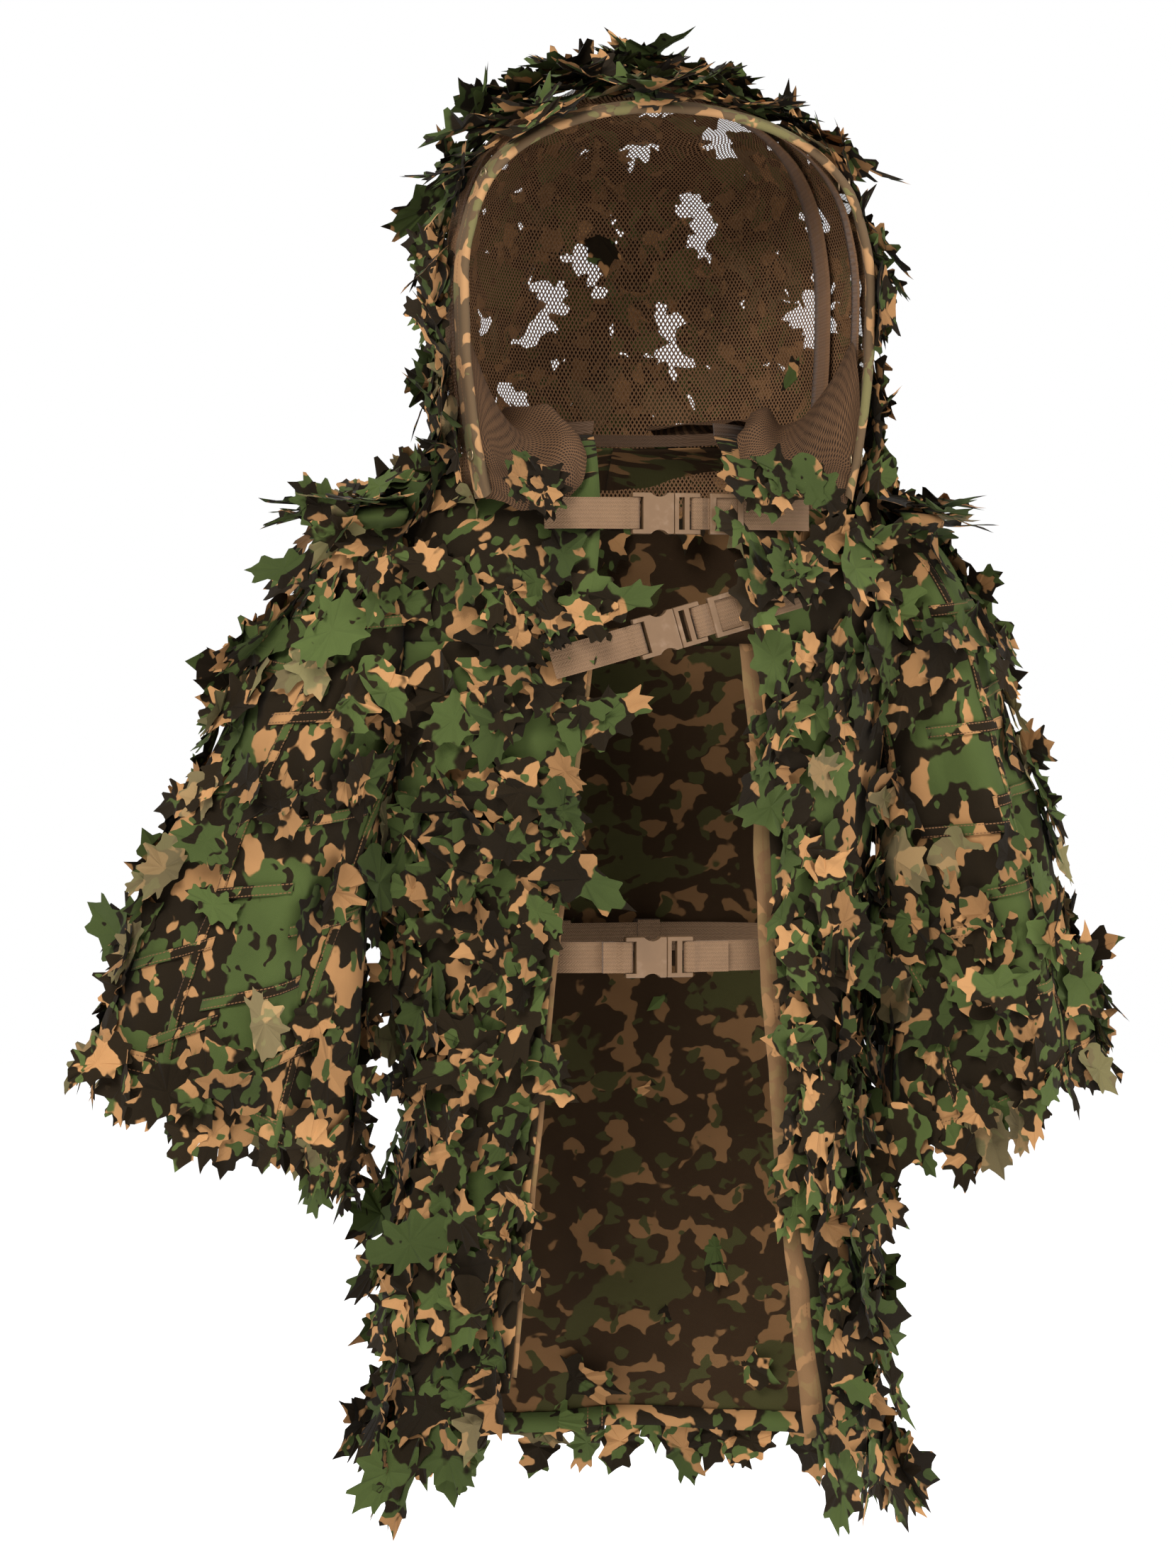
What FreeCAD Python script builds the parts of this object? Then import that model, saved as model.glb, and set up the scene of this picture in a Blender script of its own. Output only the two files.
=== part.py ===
import FreeCAD, Part
import math
import os
import re

import Sketcher
from FreeCAD import Placement, Rotation, Vector

# Open-front hooded camouflage jacket covered in cloth leaves, as it hangs on a wearer.
# +Z is up, the front faces -Y and +X is the wearer's left. The origin is the middle of
# the neck at the height where the jacket rests on the shoulders. Millimetres.

SIZES = {
    # cloth and trims
    "cloth_wall": 3.0, "tape_proud": 1.0, "tape_width": 18.0, "layer_gap": 3.0,
    # coat below the chest seam: half-sizes of its ovals
    "chest_level": -145.0, "chest_half_width": 225.0, "chest_half_depth": 150.0,
    "waist_level": -400.0, "waist_half_width": 190.0, "waist_half_depth": 140.0,
    "hem_level": -840.0, "hem_half_width": 213.0, "hem_half_depth": 160.0,
    # shoulder yoke, from the chest seam up to the neck
    "shoulder_low_level": -75.0, "shoulder_low_width": 228.0, "shoulder_low_depth": 142.0,
    "shoulder_mid_level": -35.0, "shoulder_mid_width": 215.0, "shoulder_mid_depth": 128.0,
    "shoulder_top_level": -8.0, "shoulder_top_width": 186.0, "shoulder_top_depth": 112.0,
    "neck_base_level": 12.0, "neck_base_width": 145.0, "neck_base_depth": 98.0,
    "neck_level": 25.0, "neck_half_width": 95.0, "neck_half_depth": 85.0, "neck_band": 10.0,
    # front opening: half-widths at the neck and at the hem
    "gap_at_neck": 45.0, "gap_above_neck": 60.0, "gap_at_hem": 141.0, "facing_width": 38.0, "facing_wall": 2.0,
    # armholes and sleeves
    "side_seam": 6.0, "armhole_half": 205.0, "armhole_gap": 2.0, "sleeve_seam_front": 25.0,
    "cap_level": -32.0, "cap_half_width": 22.0, "cap_half_depth": 42.0, "cap_out": 5.0,
    "ball_level": -58.0, "ball_half_width": 38.0, "ball_half_depth": 64.0, "ball_out": 12.0,
    "bicep_level": -115.0, "bicep_half_width": 56.0, "bicep_half_depth": 84.0, "bicep_out": 28.0,
    "armpit_level": -250.0, "elbow_half_depth": 96.0, "cuff_level": -620.0, "cuff_half_depth": 125.0,
    "right_elbow_half": 78.0, "right_cuff_half": 120.0, "right_splay": 7.0,
    "left_elbow_half": 62.0, "left_cuff_half": 105.0, "left_splay": 1.5,
    "cuff_mid_level": -523.0, "cuff_slant": 26.0, "loop_width": 10.0, "loop_step": 95.0,
    "loop_wall": 1.5, "loop_clearance": 0.3, "first_loop_level": -190.0,
    # hood
    "hood_base_level": -32.0, "hood_base_width": 162.0, "hood_base_depth": 172.0, "hood_base_y": -62.0,
    "hood_jaw_level": 20.0, "hood_jaw_width": 167.0, "hood_jaw_depth": 190.0, "hood_jaw_y": -75.0,
    "hood_ear_level": 100.0, "hood_ear_width": 173.0, "hood_ear_depth": 203.0, "hood_ear_y": -80.0,
    "hood_brow_level": 180.0, "hood_brow_width": 170.0, "hood_brow_depth": 198.0, "hood_brow_y": -77.0,
    "hood_peak_level": 235.0, "hood_peak_width": 153.0, "hood_peak_depth": 170.0, "hood_peak_y": -57.0,
    "hood_roof_level": 270.0, "hood_roof_width": 128.0, "hood_roof_depth": 135.0, "hood_roof_y": -24.0,
    "hood_lid_level": 296.0, "hood_lid_width": 96.0, "hood_lid_depth": 98.0, "hood_lid_y": 4.0,
    "hood_crest_level": 312.0, "hood_crest_width": 62.0, "hood_crest_depth": 68.0, "hood_crest_y": 17.0,
    "hood_top_level": 324.0, "hood_top_width": 30.0, "hood_top_depth": 34.0, "hood_top_y": 27.0,
    "hood_front": 130.0, "binding_width": 16.0, "hood_seam_half": 62.0,
    "eyelet_outer": 5.3, "eyelet_hole": 2.6, "eyelet_wall": 2.0,
    "eyelet_high_level": 226.0, "eyelet_low_level": 3.0,
    # webbing and buckles, about each buckle's own mouth
    "webbing_width": 25.0, "webbing_wall": 1.4, "fold_radius": 2.3,
    "buckle_height": 33.0, "socket_length": 34.0, "socket_wall": 10.0, "cavity_depth": 23.0,
    "cavity_height": 26.4, "cavity_wall": 4.8, "notch_radius": 9.0, "notch_bite": 3.4, "notch_back": 12.0,
    "slot_height": 26.0, "end_bar": 3.5, "slot_length": 5.2,
    "prong_base": 22.0, "prong_wall": 8.0, "bar_wall": 4.0, "arm_reach": 22.0, "arm_width": 2.8,
    "arm_wall": 4.0, "arm_clearance": 0.5, "rib_width": 4.4, "rib_reach": 18.0, "edge_round": 1.0,
    "glide_length": 28.0, "glide_wall": 7.0, "glide_gap": 1.5, "glide_clearance": 0.5,
    "glide_bar": 5.0, "glide_crossbar": 8.0, "glide_travel": 10.0, "rail_clearance": 0.4,
    "fold_length": 5.0, "merge_length": 5.0, "anchor_length": 58.0, "tail_bend": 120.0, "tail_turn": 22.0,
    "fold_inset": 0.3, "mouth_gap": 0.5,
    "upper_level": -43.0, "upper_front": 139.5, "upper_tilt": 0.0,
    "lower_level": -135.0, "lower_front": 152.0, "lower_tilt": 16.0,
    "waist_front": 115.0, "belt_straight": 52.0, "belt_bend": 116.0, "belt_behind": 5.2,
    "keeper_half": 40.0, "keeper_width": 20.0, "keeper_wall": 1.5, "keeper_bite": 1.5, "keeper_slack": 1.0,
    # leaves
    "leaf_length": 72.0, "leaf_half_width": 24.0, "leaf_wall": 0.8, "leaf_clearance": 0.3, "leaf_stand": 2.6, "leaf_lean": 7.0,
    "leaf_row": 70.0, "coat_leaf_rise": 10.0, "back_leaf_drop": 25.0, "front_leaf_drop": 75.0,
    "shoulder_leaf_drop": 13.0, "arm_leaf_gap": 15.0, "elbow_leaf_level": -440.0,
}

doc = FreeCAD.newDocument("GhillieJacket")
sheet = doc.addObject("Spreadsheet::Sheet", "Sizes")
for line, (alias, number) in enumerate(SIZES.items(), 1):
    sheet.set("A%d" % line, alias)
    sheet.set("B%d" % line, str(number))
    sheet.setAlias("B%d" % line, alias)
doc.recompute()

WORD = re.compile(r"[a-z][a-z_]*")
pieces = []


def linked(text):
    """Turn size names in a formula into references to the sheet."""
    return WORD.sub(lambda word: "Sizes." + word[0] if word[0] in SIZES else word[0], text)


def value(text):
    """The number that a formula of size names gives now."""
    return float(sheet.evalExpression(linked(text)))


def bind(thing, formulas):
    for path, formula in formulas.items():
        thing.setExpression(path, linked(formula))
    return thing


def keep(thing):
    """Note a finished piece, which is written to a file of its own name."""
    pieces.append(thing)
    return thing


# --- building blocks -------------------------------------------------------------------

def box(name, x_span, y_span, z_span):
    """A box between pairs of formulas."""
    block = doc.addObject("Part::Box", name)
    sides = zip(("Length", "Width", "Height"), ("x", "y", "z"), (x_span, y_span, z_span))
    for side, axis, (low, high) in sides:
        bind(block, {side: "(%s) - (%s)" % (high, low), "Placement.Base." + axis: low})
    return block


def cut(name, base, tool):
    result = doc.addObject("Part::Cut", name)
    result.Base = base
    result.Tool = tool
    return result


def common(name, *shapes):
    result = doc.addObject("Part::MultiCommon", name)
    result.Shapes = list(shapes)
    return result


def fuse(name, *shapes):
    result = doc.addObject("Part::MultiFuse", name)
    result.Shapes = list(shapes)
    return result


def oval(name, across, deep, level, centre_x, centre_y, longest):
    """A level oval ring with half-sizes across (X) and deep (Y); the longer one is named.

    Every ring starts at the front, where the openings take the form's own seam away.
    """
    ring = doc.addObject("Part::Ellipse", name)
    turn = 0 if longest == "x" else -90
    major, minor = (across, deep) if longest == "x" else (deep, across)
    if longest == "x":
        ring.Angle1 = 270
        ring.Angle2 = 270
    ring.Placement = Placement(Vector(), Rotation(Vector(0, 0, 1), turn))
    return bind(ring, {
        "MajorRadius": major, "MinorRadius": minor, "Placement.Base.x": centre_x,
        "Placement.Base.y": centre_y, "Placement.Base.z": level,
    })


def form(name, sections, grow="0", lift="0", longest="x"):
    """A closed solid through level ovals, grown outwards and lifted by formulas."""
    rings = []
    for number, (across, deep, level, centre_x, centre_y) in enumerate(sections):
        rings.append(oval(
            "%s_ring_%d" % (name, number), "%s + %s" % (across, grow), "%s + %s" % (deep, grow),
            "%s + %s" % (level, lift), centre_x, centre_y, longest))
    loft = doc.addObject("Part::Loft", name)
    loft.Sections = rings
    loft.Solid = True
    loft.Ruled = False
    return loft


FAR = "600"


def wedge(name, half_at_neck, half_at_hem):
    """The front opening's tool: a tall trapezoid through the front, wider at the hem."""
    tool = doc.addObject("Part::Wedge", name)
    tool.Placement = Placement(Vector(), Rotation(Vector(1, 0, 0), 90))
    return bind(tool, {
        "Ymin": "hem_level", "Ymax": "neck_level + gap_above_neck", "Zmin": "0", "Zmax": FAR,
        "Z2min": "0", "Z2max": FAR, "Xmin": "-(%s)" % half_at_hem, "Xmax": half_at_hem,
        "X2min": "-(%s)" % half_at_neck, "X2max": half_at_neck,
    })


# --- coat body -------------------------------------------------------------------------

COAT = [("hem_half_width", "hem_half_depth", "hem_level", "0", "0"),
        ("waist_half_width", "waist_half_depth", "waist_level", "0", "0"),
        ("chest_half_width", "chest_half_depth", "chest_level", "0", "0")]
YOKE = [("chest_half_width", "chest_half_depth", "chest_level", "0", "0")]
for part in ("shoulder_low", "shoulder_mid", "shoulder_top", "neck_base"):
    YOKE.append((part + "_width", part + "_depth", part + "_level", "0", "0"))
YOKE.append(("neck_half_width", "neck_half_depth", "neck_level", "0", "0"))

opening = wedge("opening_tool", "gap_at_neck", "gap_at_hem")
UPRIGHT = ("-1200", FAR)
between_armholes = box("between_armholes", ("-armhole_half", "armhole_half"), ("-" + FAR, FAR), UPRIGHT)
coat_form = form("coat_form", COAT)
coat_shell = cut("coat_shell", coat_form, form("coat_lining", COAT, grow="-cloth_wall"))
coat_trimmed = cut("coat_trimmed", common("coat_between", coat_shell, between_armholes), opening)
tape_shell = cut("tape_shell", form("tape_form", COAT, grow="tape_proud"),
                 form("tape_lining", COAT, grow="-(cloth_wall + tape_proud)"))
tape_open = cut("tape_open", tape_shell, opening)

QUARTERS = {
    "back": (("-" + FAR, FAR), ("side_seam", FAR)),
    "right_front": (("-" + FAR, "0"), ("-" + FAR, "side_seam")),
    "left_front": (("0", FAR), ("-" + FAR, "side_seam")),
}
hem_top = "hem_level + tape_width"
for part, (x_span, y_span) in QUARTERS.items():
    above = box(part + "_region", x_span, y_span, (hem_top, "chest_level"))
    below = box(part + "_hem_region", x_span, y_span, ("hem_level", hem_top))
    keep(common(part + "_panel", coat_trimmed, above))
    keep(common(part + "_hem_tape", tape_open, below))

# Facings are the doubled cloth inside each front edge.
facing_shell = cut("facing_shell", form("facing_form", COAT, grow="-cloth_wall"),
                   form("facing_lining", COAT, grow="-(cloth_wall + facing_wall)"))
facing_reach = wedge("facing_reach", "gap_at_neck + facing_width", "gap_at_hem + facing_width")
facing_strips = common("facing_strips", cut("facing_open", facing_shell, opening), facing_reach)
for side, x_span in {"right": ("-" + FAR, "0"), "left": ("0", FAR)}.items():
    region = box(side + "_facing_region", x_span, ("-" + FAR, "0"),
                 (hem_top + " + tape_proud", "chest_level - tape_proud"))
    keep(common(side + "_facing", facing_strips, region))

# --- shoulders and neck ----------------------------------------------------------------

yoke_form = form("yoke_form", YOKE)
yoke_lining = form("yoke_lining", YOKE, grow="-cloth_wall", lift="-cloth_wall")
NECK = ("neck_half_width - cloth_wall", "neck_half_depth - cloth_wall")
neck_ends = [NECK + ("neck_level %s 4 * neck_band" % sign, "0", "0") for sign in ("-", "+")]
neck_hole = form("neck_hole", neck_ends)
yoke_shell = cut("yoke_shell", cut("yoke_hollow", yoke_form, yoke_lining), neck_hole)
yoke_trimmed = cut("yoke_trimmed", common("yoke_between", yoke_shell, between_armholes), opening)
RIM = ("neck_half_width", "neck_half_depth")
band_solid = form("neck_band_form", [RIM + (level, "0", "0") for level in ("neck_level", "neck_level + neck_band")])
keep(cut("neck_binding", cut("neck_band_ring", band_solid, neck_hole), opening))
for side, x_span in {"right": ("-" + FAR, "0"), "left": ("0", FAR)}.items():
    half = box(side + "_yoke_region", x_span, ("-" + FAR, FAR), ("chest_level", FAR))
    keep(common(side + "_shoulder_panel", yoke_trimmed, half))

# --- sleeves ---------------------------------------------------------------------------


ARM_PLANE = "(armhole_half + armhole_gap)"


def sleeve_sections(side, sign):
    """Ovals of one sleeve, open to the armhole plane above the armpit."""
    upper = [(part + "_half_width", part + "_half_depth", part + "_level",
              "%s(%s + %s_out)" % (sign, ARM_PLANE, part), "0") for part in ("cap", "ball", "bicep")]
    lower = []
    for share in ("0", "1 / 3", "2 / 3", "1"):
        half = "(%s_elbow_half + (%s_cuff_half - %s_elbow_half) * %s)" % (side, side, side, share)
        deep = "(elbow_half_depth + (cuff_half_depth - elbow_half_depth) * %s)" % share
        drop = "(armpit_level - cuff_level) * %s" % share
        lower.append((half, deep, "(armpit_level - %s)" % drop,
                      "%s(%s + %s * tan(%s_splay * 1 deg) + %s)" % (sign, ARM_PLANE, drop, side, half), "0"))
    return upper + lower


def slanted_slab(name, side, sign, low, high):
    """A slab parallel to the sleeve's slanted hem, between two distances above it."""
    slab = doc.addObject("Part::Box", name)
    drop = "(armpit_level - cuff_mid_level)"
    middle = "%s(%s + %s * tan(%s_splay * 1 deg) + %s_cuff_half)" % (sign, ARM_PLANE, drop, side, side)
    turn = 1 if sign == "-" else -1
    slab.Placement = Placement(Vector(), Rotation(Vector(0, turn, 0), value("cuff_slant")))
    rise, go = "sin(cuff_slant * 1 deg)", "cos(cuff_slant * 1 deg)"
    return bind(slab, {
        "Length": "2 * %s" % FAR, "Width": "2 * %s" % FAR, "Height": "(%s) - (%s)" % (high, low),
        "Placement.Rotation.Angle": "cuff_slant",
        "Placement.Base.x": "%s - %s * %s + %d * (%s) * %s" % (middle, FAR, go, turn, low, rise),
        "Placement.Base.y": "-" + FAR,
        "Placement.Base.z": "cuff_mid_level + %d * %s * %s + (%s) * %s" % (turn, FAR, rise, low, go),
    })


for side, sign in {"right": "-", "left": ""}.items():
    sections = sleeve_sections(side, sign)
    outer = form(side + "_sleeve_form", sections, longest="y")
    hollow = form(side + "_sleeve_lining", sections, grow="-cloth_wall", lift="-cloth_wall", longest="y")
    shell = cut(side + "_sleeve_shell", outer, hollow)
    outward = ("-" + FAR, "-" + ARM_PLANE) if sign else (ARM_PLANE, FAR)
    beyond = box(side + "_armhole_side", outward, ("-" + FAR, FAR), UPRIGHT)
    above_tape = slanted_slab(side + "_above_cuff", side, sign, "tape_width", "900")
    in_tape = slanted_slab(side + "_in_cuff", side, sign, "0", "tape_width")
    cloth = common(side + "_sleeve_cloth", shell, beyond, above_tape)
    halves = {"front": ("-" + FAR, "-sleeve_seam_front"), "back": ("-sleeve_seam_front", FAR)}
    for face, y_span in halves.items():
        region = box("%s_sleeve_%s_region" % (side, face), ("-" + FAR, FAR), y_span, UPRIGHT)
        keep(common("%s_sleeve_%s" % (side, face), cloth, region))
    cuff_shell = cut(side + "_cuff_shell",
                     form(side + "_cuff_form", sections, grow="tape_proud", longest="y"),
                     form(side + "_cuff_lining", sections, grow="-(cloth_wall + tape_proud)",
                          lift="-cloth_wall", longest="y"))
    keep(common(side + "_cuff_tape", cuff_shell, beyond, in_tape))
    # Foliage loops: narrow bands sewn round the sleeve, one below another.
    band_shell = cut(side + "_loop_shell",
                     form(side + "_loop_form", sections, grow="loop_clearance + loop_wall", longest="y"),
                     form(side + "_loop_lining", sections, grow="loop_clearance", longest="y"))
    levels = []
    for number in range(3):
        low = "first_loop_level - %d * loop_step" % number
        levels.append(box("%s_loop_level_%d" % (side, number), ("-" + FAR, FAR), ("-" + FAR, FAR),
                          (low, low + " + loop_width")))
    stack = fuse(side + "_loop_levels", *levels)
    keep(common(side + "_sleeve_loops", band_shell, beyond, stack))

# --- hood ------------------------------------------------------------------------------

HOOD = [("hood_%s_width" % part, "hood_%s_depth" % part, "hood_%s_level" % part, "0", "hood_%s_y" % part)
        for part in ("base", "jaw", "ear", "brow", "peak", "roof", "lid", "crest", "top")]
hood_form = form("hood_form", HOOD, longest="y")
hood_hollow = cut("hood_hollow", hood_form,
                  form("hood_lining", HOOD, grow="-cloth_wall", lift="-cloth_wall", longest="y"))
over_shoulders = form("over_shoulders", YOKE, grow="layer_gap", lift="layer_gap")
hood_seated = cut("hood_seated", hood_hollow, over_shoulders)
PANELS = {
    "hood_right_panel": ("-" + FAR, "-hood_seam_half"),
    "hood_centre_panel": ("-hood_seam_half", "hood_seam_half"),
    "hood_left_panel": ("hood_seam_half", FAR),
}
for name, x_span in PANELS.items():
    region = box(name + "_region", x_span, ("binding_width - hood_front", FAR), ("-" + FAR, FAR))
    keep(common(name, hood_seated, region))
below_tape = "-(cloth_wall + tape_proud)"
binding_form = form("binding_form", HOOD, grow="tape_proud", lift="tape_proud", longest="y")
binding_lining = form("binding_lining", HOOD, grow=below_tape, lift=below_tape, longest="y")
binding_shell = cut("binding_shell", binding_form, binding_lining)
binding_slab = box("binding_slab", ("-" + FAR, FAR), ("-hood_front", "binding_width - hood_front"),
                   ("hood_base_level", FAR))
binding_ring = common("binding_ring", cut("binding_seated", binding_shell, over_shoulders), binding_slab)


def surface_spot(solid, start, heading):
    """The point where a ray leaves a rounded form, and the outward normal there."""
    ray = Part.makeLine(start, start + heading * 500)
    inside = ray.common(solid)
    point = max((corner.Point for corner in inside.Vertexes), key=lambda spot: (spot - start).Length)
    face = max(solid.Faces, key=lambda side: side.Area)
    normal = face.normalAt(*face.Surface.parameter(point))
    if normal.dot(heading) < 0:
        normal = -normal
    return point, normal


doc.recompute()
middle_of_binding = value("binding_width / 2 - hood_front")
rings, holes = [], []
for sign in (-1, 1):
    for level in ("eyelet_high_level", "eyelet_low_level"):
        start = Vector(0, middle_of_binding, value(level))
        spot, normal = surface_spot(hood_form.Shape, start, Vector(sign, 0, 0))
        depth = value("cloth_wall + 2 * tape_proud + 2 * eyelet_wall")
        foot = spot - normal * value("cloth_wall + tape_proud + eyelet_wall")
        for radius, group in (("eyelet_outer", rings), ("eyelet_hole", holes)):
            pin = doc.addObject("Part::Cylinder", "%s_%d" % (radius, len(group)))
            pin.Height = depth
            pin.Placement = Placement(foot, Rotation(Vector(0, 0, 1), normal))
            group.append(bind(pin, {"Radius": radius}))
eyelet_pins = fuse("eyelet_pins", *rings)
keep(cut("hood_binding", binding_ring, eyelet_pins))
keep(cut("hood_eyelets", eyelet_pins, fuse("eyelet_bores", *holes)))

# --- buckles ---------------------------------------------------------------------------

ALONG, ACROSS, FLAT = "XZ_Plane", "YZ_Plane", "XY_Plane"


def sketch_on(body, plane, name):
    drawing = body.newObject("Sketcher::SketchObject", name)
    ground = [feature for feature in body.Origin.OriginFeatures if feature.Role == plane][0]
    drawing.AttachmentSupport = [(ground, "")]
    drawing.MapMode = "FlatFace"
    return drawing


def outline(drawing, corners):
    """A closed run of straight edges; two bound distances hold each corner."""
    points = [Vector(value(across), value(up), 0) for across, up in corners]
    first = drawing.GeometryCount
    count = len(points)
    for number, point in enumerate(points):
        drawing.addGeometry(Part.LineSegment(point, points[(number + 1) % count]), False)
    for number, (across, up) in enumerate(corners):
        edge = first + number
        drawing.addConstraint(Sketcher.Constraint("Coincident", edge, 2, first + (number + 1) % count, 1))
        readings = (("DistanceX", across, points[number].x), ("DistanceY", up, points[number].y))
        for kind, formula, reading in readings:
            held = drawing.addConstraint(Sketcher.Constraint(kind, -1, 1, edge, 1, reading))
            drawing.setExpression("Constraints[%d]" % held, linked(formula))


def rectangle(drawing, left, right, low, high):
    outline(drawing, [(left, low), (right, low), (right, high), (left, high)])


def ring_in(drawing, across, up, radius):
    """A circle whose centre and radius are bound."""
    centre = Vector(value(across), value(up), 0)
    loop = drawing.addGeometry(Part.Circle(centre, Vector(0, 0, 1), value(radius)), False)
    readings = (("DistanceX", across, centre.x), ("DistanceY", up, centre.y))
    for kind, formula, reading in readings:
        held = drawing.addConstraint(Sketcher.Constraint(kind, -1, 1, loop, 3, reading))
        drawing.setExpression("Constraints[%d]" % held, linked(formula))
    held = drawing.addConstraint(Sketcher.Constraint("Radius", loop, value(radius)))
    drawing.setExpression("Constraints[%d]" % held, linked(radius))


def feature(body, kind, drawing, depth, sides="Symmetric", backwards=False):
    """A pad or pocket of a sketch; a pocket that takes nothing away is an error."""
    doc.recompute()
    before = body.Shape.Volume if body.Tip else 0.0
    step = body.newObject("PartDesign::" + kind, drawing.Name + "_" + kind.lower())
    step.Profile = drawing
    step.SideType = sides
    step.Reversed = backwards
    bind(step, {"Length": depth})
    doc.recompute()
    if kind == "Pocket" and body.Shape.Volume > before - 0.01:
        raise RuntimeError("%s cuts nothing" % step.Name)
    return step


def rounded(body):
    """Soften every edge that the body has so far."""
    solid = body.Tip
    softened = body.newObject("PartDesign::Fillet", body.Name + "_round")
    softened.Base = (solid, ["Edge1"])
    softened.UseAllEdges = True
    bind(softened, {"Radius": "edge_round"})
    doc.recompute()


HIGH = "buckle_height / 2"
CLEAR = "80"


def socket(name):
    """The female half: mouth at the local origin, webbing slot at the far end."""
    body = doc.addObject("PartDesign::Body", name)
    plate = sketch_on(body, ALONG, name + "_plate")
    rectangle(plate, "-socket_length", "0", "-" + HIGH, HIGH)
    feature(body, "Pad", plate, "socket_wall")
    rounded(body)
    slot = sketch_on(body, ALONG, name + "_slot")
    rectangle(slot, "end_bar - socket_length", "end_bar + slot_length - socket_length",
              "-slot_height / 2", "slot_height / 2")
    feature(body, "Pocket", slot, CLEAR)
    notches = sketch_on(body, ALONG, name + "_notches")
    for sign in ("", "-"):
        ring_in(notches, "-notch_back", "%s(%s + notch_radius - notch_bite)" % (sign, HIGH), "notch_radius")
    feature(body, "Pocket", notches, CLEAR)
    cavity = sketch_on(body, ACROSS, name + "_cavity")
    rectangle(cavity, "-cavity_wall / 2", "cavity_wall / 2", "-cavity_height / 2", "cavity_height / 2")
    feature(body, "Pocket", cavity, "cavity_depth", "One side")
    thin_bar(body, "-socket_length - 1", "end_bar - socket_length")
    return body


def thin_bar(body, left, right):
    """Shave a webbing bar down to its own thickness from both faces."""
    for number, (side, backwards) in enumerate((("", True), ("-", False))):
        shave = sketch_on(body, ALONG, "%s_shave_%d" % (body.Name, number))
        bind(shave, {"AttachmentOffset.Base.z": side + "bar_wall / 2"})
        rectangle(shave, left, right, "-slot_height / 2", "slot_height / 2")
        feature(body, "Pocket", shave, CLEAR, "One side", backwards)


def prong(name):
    """The male half: base from the local origin outwards, two arms and a rib inwards."""
    body = doc.addObject("PartDesign::Body", name)
    base = sketch_on(body, ALONG, name + "_base")
    rectangle(base, "mouth_gap", "prong_base", "-" + HIGH, HIGH)
    feature(body, "Pad", base, "prong_wall")
    rounded(body)
    arms = sketch_on(body, ALONG, name + "_arms")
    edge = "(cavity_height / 2 - arm_clearance)"
    root = "mouth_gap + edge_round"
    for sign in ("", "-"):
        outline(arms, [
            (root, "%s(%s - arm_width)" % (sign, edge)), (root, "%s%s" % (sign, edge)),
            ("-arm_width", "%s(%s - arm_clearance)" % (sign, edge)),
            ("-notch_back + arm_width", "%s%s" % (sign, edge)),
            ("-notch_back - arm_width", "%s%s" % (sign, edge)),
            ("-arm_reach", "%s(%s - arm_width)" % (sign, edge)),
            ("-arm_reach", "%s(%s - 1.4 * arm_width)" % (sign, edge)),
            ("-notch_back", "%s(%s - arm_width)" % (sign, edge)),
        ])
    rectangle(arms, "-rib_reach", root, "-rib_width / 2", "rib_width / 2")
    feature(body, "Pad", arms, "arm_wall")
    slots = sketch_on(body, ALONG, name + "_slots")
    rectangle(slots, "prong_base - bar_wall - slot_length", "prong_base - bar_wall",
              "-slot_height / 2", "slot_height / 2")
    rectangle(slots, "bar_wall", "prong_base - 2 * bar_wall - slot_length",
              "-slot_height / 2", "slot_height / 2")
    feature(body, "Pocket", slots, CLEAR)
    thin_bar(body, "prong_base - bar_wall", "prong_base + 1")
    return body


def tri_glide(name):
    """The strap adjuster: a frame about the local origin that slides along the webbing.

    The webbing runs through it in front of the crossbar and behind the two end bars.
    """
    body = doc.addObject("PartDesign::Body", name)
    half = "glide_length / 2"
    frame = sketch_on(body, ALONG, name + "_frame")
    rectangle(frame, "-" + half, half, "-" + HIGH, HIGH)
    feature(body, "Pad", frame, "glide_wall")
    rounded(body)
    inside = "(webbing_width / 2 + rail_clearance)"
    tunnel = sketch_on(body, ALONG, name + "_tunnel")
    rectangle(tunnel, "-%s - 1" % half, half + " + 1", "-" + inside, inside)
    feature(body, "Pocket", tunnel, "2 * webbing_wall + 2 * glide_clearance")
    window = sketch_on(body, ALONG, name + "_window")
    rectangle(window, "glide_bar - " + half, half + " - glide_bar", "-" + inside, inside)
    feature(body, "Pocket", window, CLEAR, "One side", True)
    slots = sketch_on(body, ALONG, name + "_slots")
    rectangle(slots, "glide_bar / 2 - " + half, "-glide_crossbar / 2", "-" + inside, inside)
    rectangle(slots, "glide_crossbar / 2", half + " - glide_bar / 2", "-" + inside, inside)
    feature(body, "Pocket", slots, CLEAR, "One side", False)
    return body


def turned_cylinder(name, radius, sweep, turn, place):
    """A standing cylinder sector as tall as the webbing is wide, starting at a turn about Z."""
    sector = doc.addObject("Part::Cylinder", name)
    sector.Placement = Placement(Vector(), Rotation(Vector(0, 0, 1), turn))
    along, aside = place
    return bind(sector, {
        "Radius": radius, "Angle": sweep, "Height": "webbing_width", "Placement.Base.x": along,
        "Placement.Base.y": aside, "Placement.Base.z": "-webbing_width / 2",
    })


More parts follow.
